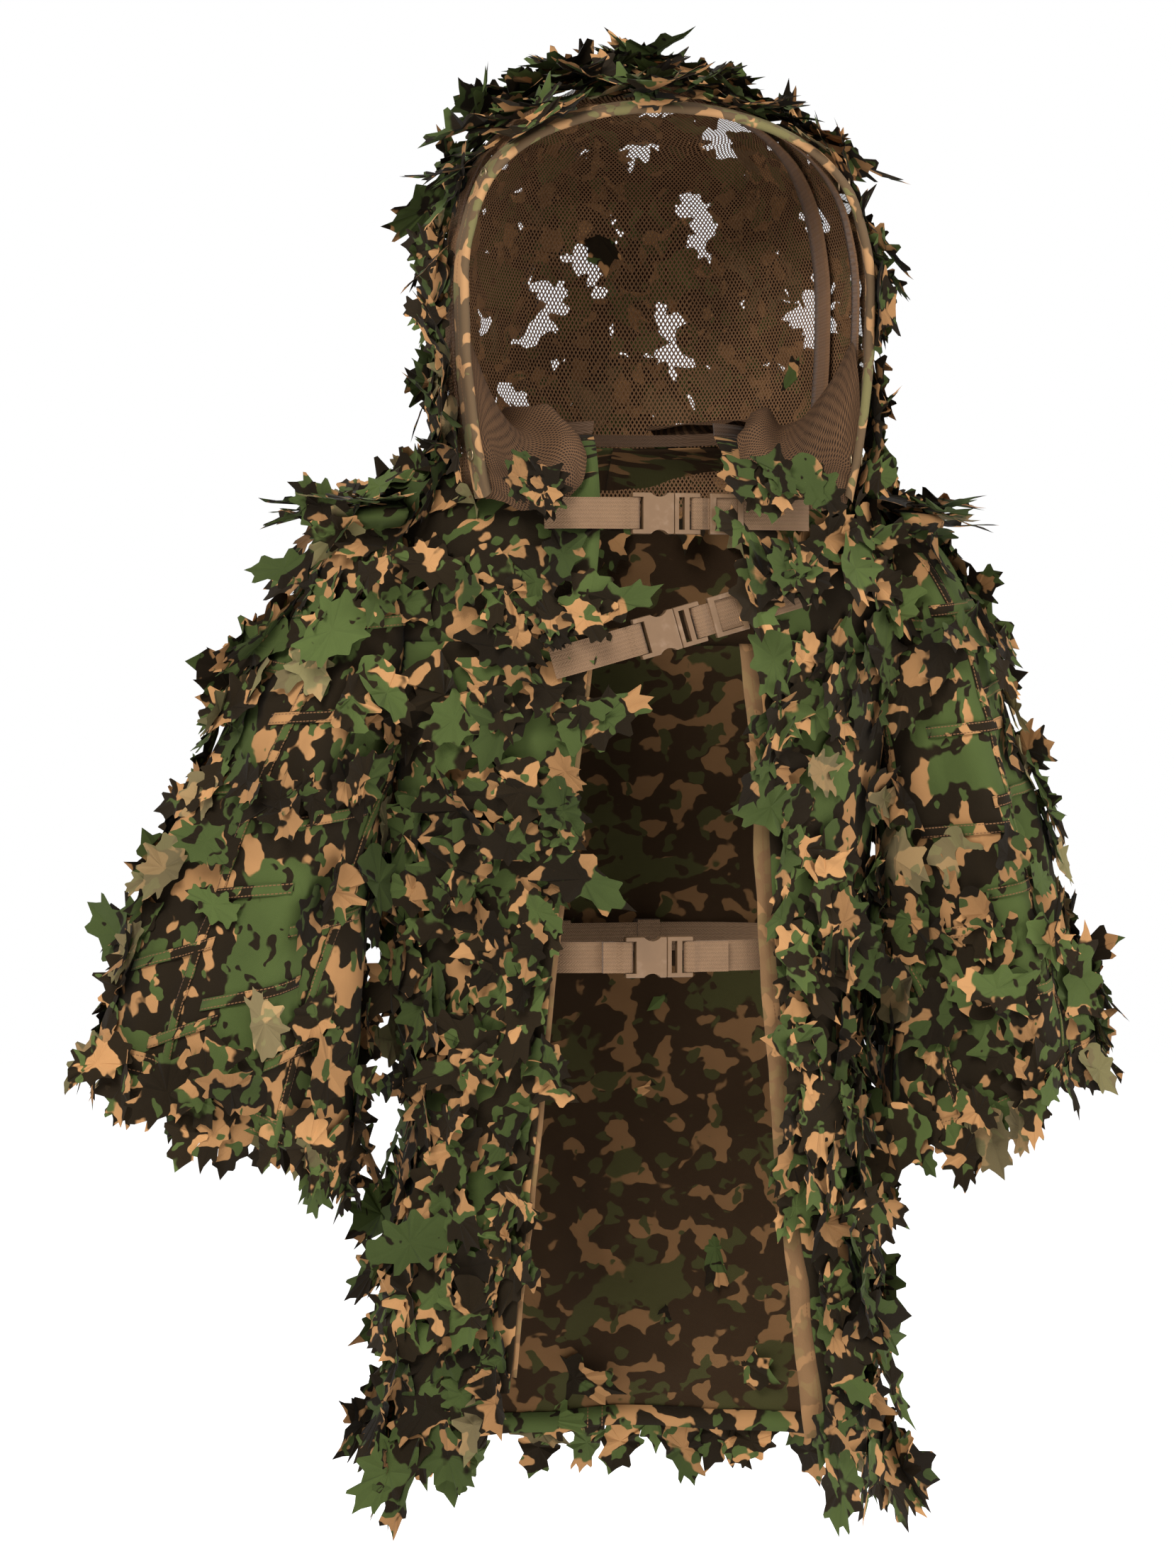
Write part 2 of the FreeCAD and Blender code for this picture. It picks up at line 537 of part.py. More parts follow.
def folded_tail(name, bar, end, bent=True):
    """Webbing doubled round a bar: the fold, the two layers that merge, and a bent sewn end."""
    outer = "(fold_radius + webbing_wall)"
    fork = "(%s + fold_length)" % bar
    join = "(%s + fold_length + merge_length)" % bar
    layers = doc.addObject("PartDesign::Body", name + "_layers")
    profile = sketch_on(layers, FLAT, name + "_profile")
    outline(profile, [
        (bar, "-" + outer), (fork, "-" + outer), (join, "-webbing_wall"), (end, "-webbing_wall"),
        (end, "webbing_wall"), (join, "webbing_wall"), (fork, outer), (bar, outer),
        (bar, "fold_radius"), (fork, "fold_radius"), (join, "0"), (fork, "-fold_radius"),
        (bar, "-fold_radius"),
    ])
    feature(layers, "Pad", profile, "webbing_width")
    fold = cut(name + "_fold", turned_cylinder(name + "_fold_outer", outer, "180", 90, (bar, "0")),
               turned_cylinder(name + "_fold_inner", "fold_radius", "180", 90, (bar, "0")))
    if not bent:
        return fuse(name, layers, fold)
    centre = (end, "tail_bend")
    bend = cut(name + "_bend",
               turned_cylinder(name + "_bend_outer", "tail_bend + webbing_wall", "tail_turn", -90, centre),
               turned_cylinder(name + "_bend_inner", "tail_bend - webbing_wall", "tail_turn", -90, centre))
    return fuse(name, layers, fold, bend)


def seat(thing, strap, along="0", mirrored=False):
    """Put a piece on a strap: along it from the buckle's mouth, tilted with it."""
    tilt = "0" if strap == "waist" else strap + "_tilt"
    front = strap + "_front"
    thing.Placement = Placement(Vector(), Rotation(Vector(0, 1, 0), 1))
    return bind(thing, {
        "Placement.Rotation.Angle": ("180 - " if mirrored else "-") + tilt,
        "Placement.Base.x": "(%s) * cos(%s * 1 deg)" % (along, tilt),
        "Placement.Base.y": "-" + front,
        "Placement.Base.z": "%s_level + (%s) * sin(%s * 1 deg)" % (strap, along, tilt),
    })


SOCKET_BAR = "(socket_length - end_bar + fold_inset)"
PRONG_BAR = "(prong_base - bar_wall + fold_inset)"
GLIDE_PLACE = PRONG_BAR + " + fold_length + merge_length + glide_gap + glide_length / 2"
for strap in ("upper", "lower"):
    keep(seat(socket(strap + "_buckle_socket"), strap))
    keep(seat(folded_tail(strap + "_socket_webbing", SOCKET_BAR, "anchor_length"), strap, mirrored=True))
    keep(seat(prong(strap + "_buckle_prong"), strap))
    keep(seat(folded_tail(strap + "_prong_webbing", PRONG_BAR,
                          GLIDE_PLACE + " + glide_length / 2 + glide_travel + glide_gap"), strap))
    keep(seat(tri_glide(strap + "_tri_glide"), strap, along=GLIDE_PLACE))

keep(seat(socket("waist_buckle_socket"), "waist"))
keep(seat(prong("waist_buckle_prong"), "waist"))
keep(seat(folded_tail("waist_prong_webbing", PRONG_BAR, "belt_straight", bent=False), "waist"))


def stadium(name, grow):
    """The waist belt's run round the wearer, as a filled slab."""
    radius = "belt_bend + %s" % grow
    middle = "belt_bend + belt_behind"
    ends = [turned_cylinder("%s_%s" % (name, side), radius, "360", 0, (sign + "belt_straight", middle))
            for side, sign in (("left", ""), ("right", "-"))]
    core = box(name + "_core", ("-belt_straight", "belt_straight"),
               ("%s - (%s)" % (middle, radius), "%s + %s" % (middle, radius)),
               ("-webbing_width / 2", "webbing_width / 2"))
    return fuse(name, core, *ends)


belt_loop = cut("belt_loop", stadium("belt_outer", "webbing_wall / 2"),
                stadium("belt_inner", "-webbing_wall / 2"))
belt_gap = box("belt_gap", ("-(%s + fold_length + merge_length)" % SOCKET_BAR, "prong_base + fold_length"),
               ("-socket_wall", "belt_bend"), ("-webbing_width", "webbing_width"))
belt_run = cut("belt_run", belt_loop, belt_gap)
belt_tail = folded_tail("belt_tail", SOCKET_BAR, "belt_straight", bent=False)
belt_tail.Placement = Placement(Vector(), Rotation(Vector(0, 1, 0), 180))
patch = box("belt_patch", ("-belt_straight", "merge_length + fold_length - belt_straight"),
            ("0", "belt_behind"), ("-webbing_width / 2", "webbing_width / 2"))
keep(seat(fuse("waist_belt", belt_run, belt_tail, patch), "waist"))

# Keepers hold the belt against the back; their legs are sewn into the back panel.
belt_back = "2 * belt_bend + belt_behind - waist_front"
belt_near = "%s - webbing_wall / 2 - keeper_slack" % belt_back
keeper_parts = []
for number, sign in enumerate(("", "-")):
    x_span = ("%skeeper_half - keeper_width / 2" % sign, "%skeeper_half + keeper_width / 2" % sign)
    tall = "webbing_width / 2 + keeper_slack"
    depth = "waist_half_depth - cloth_wall"
    block = box("keeper_block_%d" % number, x_span, (belt_near + " - keeper_wall", depth),
                ("waist_level - (%s) - keeper_wall" % tall, "waist_level + %s + keeper_wall" % tall))
    hole = box("keeper_hole_%d" % number, ("(%s) - 1" % x_span[0], "(%s) + 1" % x_span[1]),
               (belt_near, belt_back + " + webbing_wall / 2 + 3 * keeper_slack"),
               ("waist_level - (%s)" % tall, "waist_level + %s" % tall))
    keeper_parts.append(cut("keeper_%d" % number, block, hole))
inside_coat = form("inside_coat", COAT, grow="keeper_bite - cloth_wall")
keep(common("belt_keepers", fuse("keeper_pair", *keeper_parts), inside_coat))

# --- leaves ----------------------------------------------------------------------------

# Half of a leaf's rim: shares of its half-width aside and of its length ahead, stem to tip.
HALF_LEAF = [
    (0.08, 0.0), (0.7, 0.14), (0.42, 0.32), (1.0, 0.5), (0.5, 0.62), (0.62, 0.86), (0.2, 0.82),
]


def leaf(spot, normal, turn, scale):
    """One flat lobed leaf: stem at the spot, hanging down the surface and leaning off it."""
    down = Vector(0, 0, -1)
    down = down - normal * down.dot(normal)
    down.normalize()
    down = Rotation(normal, turn).multVec(down)
    across = down.cross(normal)
    lean = math.radians(value("leaf_lean"))
    along = down * math.cos(lean) + normal * math.sin(lean)
    width = value("leaf_half_width") * scale
    length = value("leaf_length") * scale
    stem = spot + normal * value("leaf_stand")
    side = [(width * aside, length * ahead) for aside, ahead in HALF_LEAF]
    rim = side + [(0, length)] + [(-aside, ahead) for aside, ahead in reversed(side)]
    corners = [stem + across * aside + along * ahead for aside, ahead in rim]
    face = Part.Face(Part.makePolygon(corners + corners[:1]))
    lift = along.cross(across)
    if lift.dot(normal) < 0:
        lift = -lift
    return face.extrude(lift * value("leaf_wall"))


def axis_at(sections, level):
    """The middle of a form at a level, between its sections."""
    rows = sorted((value(row[2]), value(row[3]), value(row[4])) for row in sections)
    for low, high in zip(rows, rows[1:]):
        if low[0] <= level <= high[0]:
            share = (level - low[0]) / (high[0] - low[0])
            return Vector(low[1] + share * (high[1] - low[1]), low[2] + share * (high[2] - low[2]), level)
    raise ValueError("level %s is off the form" % level)


def apart(first, second):
    """Whether two leaves keep clear of each other."""
    if not first.BoundBox.intersect(second.BoundBox):
        return True
    return first.distToShape(second)[0] > value("leaf_clearance")


def leaf_group(name, solid, sections, levels, angles, wanted):
    """Leaves on a form, in staggered rows, where the wanted test lets them be."""
    leaves = []
    for row, level in enumerate(levels):
        step = angles[1] - angles[0]
        for column, angle in enumerate(angles):
            heading = math.radians(angle + (step / 2 if row % 2 else 0))
            start = axis_at(sections, level)
            ray = Vector(math.cos(heading), math.sin(heading), 0)
            spot, normal = surface_spot(solid.Shape, start, ray)
            if wanted(spot):
                turn = (37 * (row + 2 * column)) % 50 - 25
                scale = 0.85 + 0.1 * ((row + column) % 4)
                piece = leaf(spot, normal, turn, scale)
                if all(apart(piece, other) for other in leaves):
                    leaves.append(piece)
    group = doc.addObject("Part::Feature", name)
    group.Shape = Part.makeCompound(leaves)
    return keep(group)


doc.recompute()
SLEEVE_SIDE = value("armhole_half - leaf_half_width")


def front_edge(level):
    """Half of the front opening at a level."""
    top = value("neck_level + gap_above_neck")
    share = (top - level) / (top - value("hem_level"))
    return value("gap_at_neck") + share * (value("gap_at_hem") - value("gap_at_neck"))


def on_coat(spot):
    """Clear of the armholes above the armpits, and of the front opening."""
    beside_arm = spot.z > value("armpit_level - leaf_length") and abs(spot.x) > SLEEVE_SIDE
    in_front = spot.y < 0 and abs(spot.x) < front_edge(spot.z) + value("leaf_half_width")
    return not beside_arm and not in_front


def rows_between(first, last, step):
    """Levels from one down to another, a step apart."""
    return [first - step * number for number in range(int((first - last) / step) + 1)]


coat_low = value("hem_level + coat_leaf_rise")
back_rows = rows_between(value("chest_level - back_leaf_drop"), coat_low + 1, value("leaf_row")) + [coat_low]
front_rows = rows_between(value("lower_level - front_leaf_drop"), coat_low + 1, value("leaf_row")) + [coat_low]
leaf_group("back_leaves", coat_form, COAT, back_rows, range(24, 158, 17), on_coat)
leaf_group("right_front_leaves", coat_form, COAT, front_rows, range(188, 256, 15), on_coat)
leaf_group("left_front_leaves", coat_form, COAT, front_rows, range(284, 352, 15), on_coat)
shoulder_rows = rows_between(value("shoulder_mid_level - shoulder_leaf_drop"), value("chest_level + leaf_row / 2"),
                             value("leaf_row / 2"))
leaf_group("shoulder_leaves", yoke_form, YOKE, shoulder_rows, range(30, 156, 16),
           lambda spot: abs(spot.x) < SLEEVE_SIDE and spot.y > 0)
HOOD_LEAF_ROWS = (95, 150, 205, 250, 284, 308)
behind_binding = value("binding_width - hood_front + leaf_half_width")
leaf_group("hood_leaves", hood_form, HOOD, HOOD_LEAF_ROWS, range(-10, 200, 20), lambda spot: spot.y > behind_binding)
beyond_armhole = value("armhole_half + leaf_half_width + arm_leaf_gap")
sleeve_rows = rows_between(value("ball_level - front_leaf_drop / 2"), value("elbow_leaf_level"), value("leaf_row"))
for side, (sign, facing) in {"right": ("-", 180), "left": ("", 0)}.items():
    leaf_group(side + "_sleeve_leaves", doc.getObject(side + "_sleeve_form"), sleeve_sections(side, sign),
               sleeve_rows, range(facing - 84, facing + 85, 28), lambda spot: abs(spot.x) > beyond_armhole)

# --- checks and files ------------------------------------------------------------------

doc.recompute()
for thing in doc.Objects:
    if "Invalid" in thing.State or "Error" in thing.State:
        raise RuntimeError("%s failed: %s" % (thing.Name, thing.State))
for piece in pieces:
    if piece.Shape.isNull() or not piece.Shape.isValid() or not piece.Shape.Solids:
        raise RuntimeError("%s has no sound shape" % piece.Label)

os.makedirs("parts", exist_ok=True)
for piece in pieces:
    piece.Shape.exportStep("parts/%s.step" % piece.Label)
print("%d pieces written" % len(pieces))
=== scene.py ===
import math
import random

import bmesh
import bpy
import numpy as np
from mathutils import Matrix, Vector, noise


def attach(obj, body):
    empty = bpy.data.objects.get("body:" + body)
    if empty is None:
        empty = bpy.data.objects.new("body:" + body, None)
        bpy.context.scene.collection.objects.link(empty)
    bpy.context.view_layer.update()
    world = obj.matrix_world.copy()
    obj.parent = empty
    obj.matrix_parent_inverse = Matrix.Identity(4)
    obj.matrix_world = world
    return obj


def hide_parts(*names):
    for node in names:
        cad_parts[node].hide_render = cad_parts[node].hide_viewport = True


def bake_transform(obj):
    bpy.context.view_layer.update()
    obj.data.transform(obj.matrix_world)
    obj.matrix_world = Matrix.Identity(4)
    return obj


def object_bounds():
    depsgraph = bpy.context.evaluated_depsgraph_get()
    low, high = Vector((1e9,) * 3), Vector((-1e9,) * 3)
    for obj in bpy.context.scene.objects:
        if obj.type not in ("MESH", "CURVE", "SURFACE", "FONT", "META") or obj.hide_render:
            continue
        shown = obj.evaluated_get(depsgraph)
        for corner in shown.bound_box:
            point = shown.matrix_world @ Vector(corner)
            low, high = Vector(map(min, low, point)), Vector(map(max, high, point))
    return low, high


bl_info = {
    "name": "Leaf-covered camouflage jacket",
    "version": (1, 0, 0),
    "blender": (4, 5, 0),
    "location": "3D View > Sidebar > Jacket",
    "description": "Dresses the jacket's frame in printed cloth, netting, webbing and sewn leaves",
    "category": "Object",
}

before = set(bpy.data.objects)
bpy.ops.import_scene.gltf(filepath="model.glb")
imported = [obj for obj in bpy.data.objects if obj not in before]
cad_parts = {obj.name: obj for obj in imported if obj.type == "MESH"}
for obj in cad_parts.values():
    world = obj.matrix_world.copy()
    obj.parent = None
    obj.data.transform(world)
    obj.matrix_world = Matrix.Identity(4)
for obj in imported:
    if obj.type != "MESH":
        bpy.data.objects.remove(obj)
cad_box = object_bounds()

# Metres throughout. Levels are heights above the neck's rest; every form is a stack of level ovals.
COAT_ROWS = [
    (-0.840, 0.213, 0.160, 0.0, 0.0), (-0.400, 0.190, 0.140, 0.0, 0.0), (-0.145, 0.225, 0.150, 0.0, 0.0),
    (-0.075, 0.228, 0.142, 0.0, 0.0), (-0.035, 0.215, 0.128, 0.0, 0.0), (-0.008, 0.186, 0.112, 0.0, 0.0),
    (0.012, 0.145, 0.098, 0.0, 0.0), (0.025, 0.095, 0.085, 0.0, 0.0),
]
HOOD_ROWS = [
    (-0.032, 0.162, 0.172, 0.0, -0.062), (0.020, 0.167, 0.190, 0.0, -0.075),
    (0.100, 0.173, 0.203, 0.0, -0.080),
    (0.180, 0.170, 0.198, 0.0, -0.077), (0.235, 0.153, 0.170, 0.0, -0.057),
    (0.270, 0.128, 0.135, 0.0, -0.024),
    (0.296, 0.096, 0.098, 0.0, 0.004), (0.312, 0.062, 0.068, 0.0, 0.017), (0.324, 0.030, 0.034, 0.0, 0.027),
    (0.328, 0.001, 0.001, 0.0, 0.028),
]
SLEEVE_HEAD = [
    (-0.029, 0.001, 0.001, 0.212, 0.0), (-0.032, 0.022, 0.042, 0.212, 0.0),
    (-0.058, 0.038, 0.064, 0.219, 0.0),
    (-0.115, 0.056, 0.084, 0.235, 0.0),
]
SLEEVE_TAIL = {-1: [(-0.250, 0.078, 0.096, 0.285, 0.0), (-0.620, 0.120, 0.125, 0.3724, 0.0)],
               1: [(-0.250, 0.062, 0.096, 0.269, 0.0), (-0.620, 0.105, 0.125, 0.3217, 0.0)]}
HEM_MIDDLE = {-1: 0.3605, 1: 0.3191}
HEM_LEVEL = -0.523
SLEEVE_TOP = -0.0295
HEM_SLOPE = math.tan(math.radians(26))
ARM_PLANE = 0.206
SIDE_SEAM = 0.006
HOOD_FRONT = -0.130
CHEST_SEAM = -0.145
ARMPIT = -0.262
ELBOW_X, ELBOW_LEVEL = 0.331, -0.387
HEM = -0.838
HOOD_BASE, HOOD_TOP = -0.030, 0.3279
CLOTH_WALL = 0.0012
TAPE_WALL = 0.0009
TAPE_WIDTH = 0.018
PANEL_LENGTH = 0.69
# How far the cloth's outer face is drawn in from its form.
INSET = 0.0015
DOWN = Vector((0, 0, -1))
SIDES = {"right": -1, "left": 1}


class Form:
    """A stack of level ovals, smooth between its rows of level, half-sizes and middle."""

    def __init__(self, rows):
        rows = np.array(sorted(rows))
        level, sizes = rows[:, 0], rows[:, 1:]
        gap = np.diff(level)[:, None]
        slope = np.diff(sizes, axis=0) / gap
        inner = (slope[:-1] * gap[1:] + slope[1:] * gap[:-1]) / (gap[1:] + gap[:-1])
        tangent = np.vstack([slope[:1], inner, slope[-1:]])
        share = np.linspace(0, 1, 25)[:, None]
        keep, bend = 2 * share ** 3 - 3 * share ** 2 + 1, share ** 3 - 2 * share ** 2 + share
        arrive, leave = 3 * share ** 2 - 2 * share ** 3, share ** 3 - share ** 2
        table = []
        for low in range(len(level) - 1):
            height = level[low] + gap[low] * share
            run = (keep * sizes[low] + bend * gap[low] * tangent[low]
                   + arrive * sizes[low + 1] + leave * gap[low] * tangent[low + 1])
            table.append(np.hstack([height, run]))
        self.table = np.vstack(table)
        steps = np.diff(self.table[:, :3], axis=0)
        self.length = np.concatenate([[0], np.cumsum(np.linalg.norm(steps, axis=1))])

    def at(self, level):
        """Half-sizes across and deep, and the middle, at a level."""
        return [float(np.interp(level, self.table[:, 0], self.table[:, column])) for column in (1, 2, 3, 4)]

    def level_between(self, low, high, share):
        """The level a share of the way up the form's side from one level to another."""
        ends = np.interp([low, high], self.table[:, 0], self.length)
        return float(np.interp(ends[0] + share * (ends[1] - ends[0]), self.length, self.table[:, 0]))

    def holds(self, point):
        """Whether a point is inside the form."""
        if not self.table[0, 0] <= point.z <= self.table[-1, 0]:
            return False
        across, deep, middle_x, middle_y = self.at(point.z)
        return ((point.x - middle_x) / across) ** 2 + ((point.y - middle_y) / deep) ** 2 < 1

    def edge_along(self, start, heading, reach=0.6):
        """Where a ray from inside leaves the form."""
        near, far = 0.0, reach
        for _ in range(22):
            halfway = (near + far) / 2
            if self.holds(start + heading * halfway):
                near = halfway
            else:
                far = halfway
        return start + heading * near


COAT = Form(COAT_ROWS)
HOOD = Form(HOOD_ROWS)
SLEEVES = {sign: Form(SLEEVE_HEAD + SLEEVE_TAIL[sign]) for sign in SIDES.values()}


def ease(low, high, number):
    """0 below low, 1 above high and smooth between."""
    share = min(max((number - low) / (high - low), 0.0), 1.0)
    return share * share * (3 - 2 * share)


def hum(x, y, seed):
    """A smooth random number from -1 to 1 that changes over a unit or so."""
    return noise.noise(Vector((x, y, seed * 7.31)))


# --- where the cloth hangs --------------------------------------------------------------

def opening_half(level):
    """Half of the front opening at a level."""
    return 0.045 + 0.096 * (0.085 - level) / 0.925


def coat_fold(heading, level, depth):
    """How far the coat's cloth stands off its form: slack folds that deepen towards the hem."""
    low = min(max((-0.10 - level) / 0.6, 0.0), 1.0)
    run = 0.9 * math.sin(heading * 9 + 1.5 * hum(heading * 1.5, level * 4, 1)) * low
    crumple = 0.6 * hum(heading * 4, level * 14, 2) + 0.35 * hum(heading * 11, level * 30, 3)
    return depth * (run + crumple * (0.5 + 0.5 * low))


def coat_point(heading, level, out=0.0, depth=0.008):
    """A point of the coat: heading is 0 at the front and grows to the wearer's left."""
    across, deep, _, _ = COAT.at(level)
    out = out + coat_fold(heading, level, depth) - INSET
    point = Vector(((across + out) * math.sin(heading), -(deep + out) * math.cos(heading), level))
    if abs(point.x) > ARM_PLANE and level > ARMPIT:
        point.x = math.copysign(ARM_PLANE, point.x)
    return point


def seam_heading(level):
    return math.acos(-SIDE_SEAM / COAT.at(level)[1])


def edge_heading(level, beyond=0.0):
    """The heading of the front edge, or of a line beside it."""
    half = opening_half(level) + beyond + 0.004 * hum(level * 9, 0.3, 5)
    return math.asin(min(half / COAT.at(level)[0], 0.98))


def back_place(u, v, out=0.0):
    level = COAT.level_between(HEM, CHEST_SEAM, v)
    seam = seam_heading(level)
    return coat_point(seam + u * 2 * (math.pi - seam), level, out)


# How far each front's lower corner is drawn up at its open edge.
CORNER_RISE = {-1: 0.090, 1: 0.030}


def front_hem(sign, u):
    """The level of a front's hem, which climbs to its open edge."""
    return HEM + CORNER_RISE[sign] * (1 - ease(0.0, 0.85, u))


def front_place(sign):
    def place(u, v, out=0.0):
        level = COAT.level_between(front_hem(sign, u), CHEST_SEAM, v)
        edge, seam = edge_heading(level), seam_heading(level)
        return coat_point(sign * (edge + u * (seam - edge)), level, out)
    return place


def yoke_place(sign):
    def place(u, v, out=0.0):
        level = COAT.level_between(CHEST_SEAM, 0.024, v)
        edge = edge_heading(level)
        return coat_point(sign * (edge + u * (math.pi - edge)), level, out, 0.003)
    return place


def facing_place(sign):
    def place(u, v, out=0.0):
        level = COAT.level_between(front_hem(sign, 0.0) + 0.012, CHEST_SEAM - 0.002, v)
        start, end = edge_heading(level, -0.013 if sign > 0 else -0.003), edge_heading(level, 0.034)
        return coat_point(sign * (start + u * (end - start)), level, out - 0.004)
    return place


def hem_place(body, lift=0.0018):
    """A tape along a panel's lower edge, outside it or, with a negative lift, inside."""
    def place(u, v, out=0.0):
        return body(u, v * TAPE_WIDTH / PANEL_LENGTH, out + lift)
    return place


def sleeve_level_low(sign, turn):
    """The hem's level at a turn round the sleeve."""
    level = HEM_LEVEL
    for _ in range(12):
        across, _, middle, _ = SLEEVES[sign].at(level)
        level = HEM_LEVEL + (middle + across * math.cos(turn) - HEM_MIDDLE[sign]) * HEM_SLOPE
    return level


def sleeve_point(sign, turn, level, out=0.0, depth=0.010):
    """A point of a sleeve: turn is 0 on the outer side and a quarter at the front."""
    across, deep, middle, _ = SLEEVES[sign].at(level)
    slack = ease(0.06, 0.36, -level)
    fold = 0.8 * math.sin(turn * 5 + 2.2 * hum(turn * 1.2, level * 4, 11 + sign)) * slack
    fold += 0.8 * hum(turn * 2.2, level * 10, 13 + sign) + 0.4 * hum(turn * 6, level * 26, 15 + sign)
    outer = 0.5 + 0.5 * ease(-0.6, 0.2, math.cos(turn))
    out = out + depth * outer * fold * ease(-0.028, -0.060, level) - INSET
    out = max(out, 0.0004 - min(across, deep)) if across < 0.01 else out
    x = max(middle + (across + out) * math.cos(turn), ARM_PLANE)
    return Vector((sign * x, -(deep + out) * math.sin(turn), level))


def sleeve_turn(face, seam, u):
    """The turn a share of the way across the front or the back cloth."""
    if face == "front":
        return seam + u * (math.pi - 2 * seam)
    return math.pi - seam + u * (math.pi + 2 * seam)


def sleeve_place(sign, face):
    """The front or the back cloth of a sleeve, between its two seams."""
    def place(u, v, out=0.0):
        hem_turn = sleeve_turn(face, sleeve_seam(sign, -0.5), u)
        level = SLEEVES[sign].level_between(sleeve_level_low(sign, hem_turn), SLEEVE_TOP, v)
        return sleeve_point(sign, sleeve_turn(face, sleeve_seam(sign, level), u), level, out)
    return place


def sleeve_seam(sign, level):
    """The turn of the sleeve's outer seam, which lies forward of its side."""
    deep = max(SLEEVES[sign].at(level)[1], 0.0255)
    return math.asin(0.025 / deep)


def hood_point(heading, level, out=0.0, depth=0.004):
    """A point of the hood; heading is 0 at the front and grows to the wearer's left."""
    across, deep, _, middle = HOOD.at(level)
    fold = hum(heading * 3, level * 16, 21) + 0.5 * hum(heading * 7, level * 40, 22)
    out = out + depth * fold * min(1.0, across / 0.1) - INSET
    out = max(out, 0.0003 - across)
    return Vector(((across + out) * math.sin(heading), middle - (deep + out) * math.cos(heading), level))


def hood_edge(level):
    """The heading at which the hood is cut open at the front."""
    _, deep, _, middle = HOOD.at(level)
    share = (middle - HOOD_FRONT) / deep
    return math.acos(min(share, 1.0))


def hood_place(start, end):
    """The hood's netting between two shares of its way round."""
    def place(u, v, out=0.0):
        level = HOOD.level_between(HOOD_BASE, HOOD_TOP, v)
        edge = hood_edge(level)
        share = start + u * (end - start)
        return hood_point(edge + share * 2 * (math.pi - edge), level, out)
    return place


def arch_point(depth, share, out=0.0):
    """A point of the hood's arch in an upright plane across it, from right to left over the top."""
    heart = Vector((0, depth, 0.10))
    across, deep, _, middle = HOOD.at(HOOD_BASE)
    half = across * math.sqrt(max(1 - ((depth - middle) / deep) ** 2, 0.05))
    low = math.atan2(HOOD_BASE - heart.z, half)
    turn = math.pi - low - share * (math.pi - 2 * low)
    heading = Vector((math.cos(turn), 0, math.sin(turn)))
    return HOOD.edge_along(heart, heading) + heading * out


def rim_place(u, v):
    """The hood's binding, folded round its front edge: v runs over the arch, u round the fold."""
    turn = math.pi * min(max((u - 0.36) / 0.28, 0.0), 1.0)
    back = 0.015 * (max(0.36 - u, 0.0) + max(u - 0.64, 0.0)) / 0.36
    swell = 0.0006 * hum(v * 40, u * 3, 31)
    plane = HOOD_FRONT - 0.0034 * math.sin(turn) + back
    shown = max(plane, HOOD_FRONT)
    return arch_point(shown, v, -0.0012 + (0.0036 + swell) * math.cos(turn)) + Vector((0, plane - shown, 0))


def arch_strip_place(depth, width):
    def place(u, v, out=0.0):
        return arch_point(depth + (u - 0.5) * width, v, -0.0065 + out)
    return place


def through(points, share):
    """A point on a smooth curve through evenly spread points."""
    last = len(points) - 1
    at = min(max(share, 0.0), 1.0) * last
    low = min(int(at), last - 1)
    part = at - low
    before, start, end, after = (Vector(points[min(max(low + k, 0), last)]) for k in (-1, 0, 1, 2))
    return 0.5 * (2 * start + (end - before) * part + (2 * before - 5 * start + 4 * end - after) * part ** 2
                  + (3 * start - before - 3 * end + after) * part ** 3)


# The left cowl, front to nape: its free lower edge, its roll, its sag and its line on the hood's wall.
COWL_EDGE = [(0.150, -0.124, -0.034), (0.124, -0.127, -0.040), (0.094, -0.126, -0.038),
             (0.070, -0.119, -0.018),
             (0.064, -0.104, 0.010), (0.078, -0.074, 0.034), (0.094, -0.032, 0.042), (0.100, 0.010, 0.044),
             (0.080, 0.060, 0.044), (0.030, 0.090, 0.042)]
COWL_ROLL = [(0.155, -0.127, -0.019), (0.136, -0.129, -0.017), (0.108, -0.127, -0.014),
             (0.086, -0.118, 0.002),
             (0.082, -0.102, 0.026), (0.094, -0.070, 0.046), (0.108, -0.028, 0.050), (0.110, 0.012, 0.048),
             (0.088, 0.064, 0.046), (0.034, 0.094, 0.042)]
COWL_SAG = [(0.157, -0.126, -0.010), (0.144, -0.118, 0.004), (0.128, -0.104, 0.004), (0.116, -0.094, 0.010),
            (0.112, -0.078, 0.024), (0.118, -0.052, 0.032), (0.124, -0.020, 0.036), (0.120, 0.014, 0.038),
            (0.098, 0.066, 0.038), (0.040, 0.098, 0.036)]
COWL_WALL = [(0.159, -0.128, 0.010), (0.160, -0.122, 0.060), (0.160, -0.110, 0.094), (0.160, -0.094, 0.100),
             (0.160, -0.074, 0.086), (0.158, -0.048, 0.066), (0.152, -0.016, 0.052), (0.140, 0.030, 0.044),
             (0.108, 0.078, 0.038), (0.046, 0.104, 0.034)]


def cowl_place(sign):
    """The soft netting that turns in from the hood's foot to the neck, on one side."""
    def place(u, v, out=0.0):
        rows = [through(row, u) for row in (COWL_EDGE, COWL_ROLL, COWL_SAG, COWL_WALL)]
        spot = through(rows, v)
        ruck = 0.006 * hum(u * 9, v * 2.0, 33 + sign) + 0.004 * hum(u * 20, v * 5.0, 35 + sign)
        spot += Vector((-0.4, 0.3, 0.8)) * (ruck * (1 - 0.7 * v) + out)
        return Vector((sign * spot.x, spot.y, spot.z))
    return place


# --- meshes ------------------------------------------------------------------------------

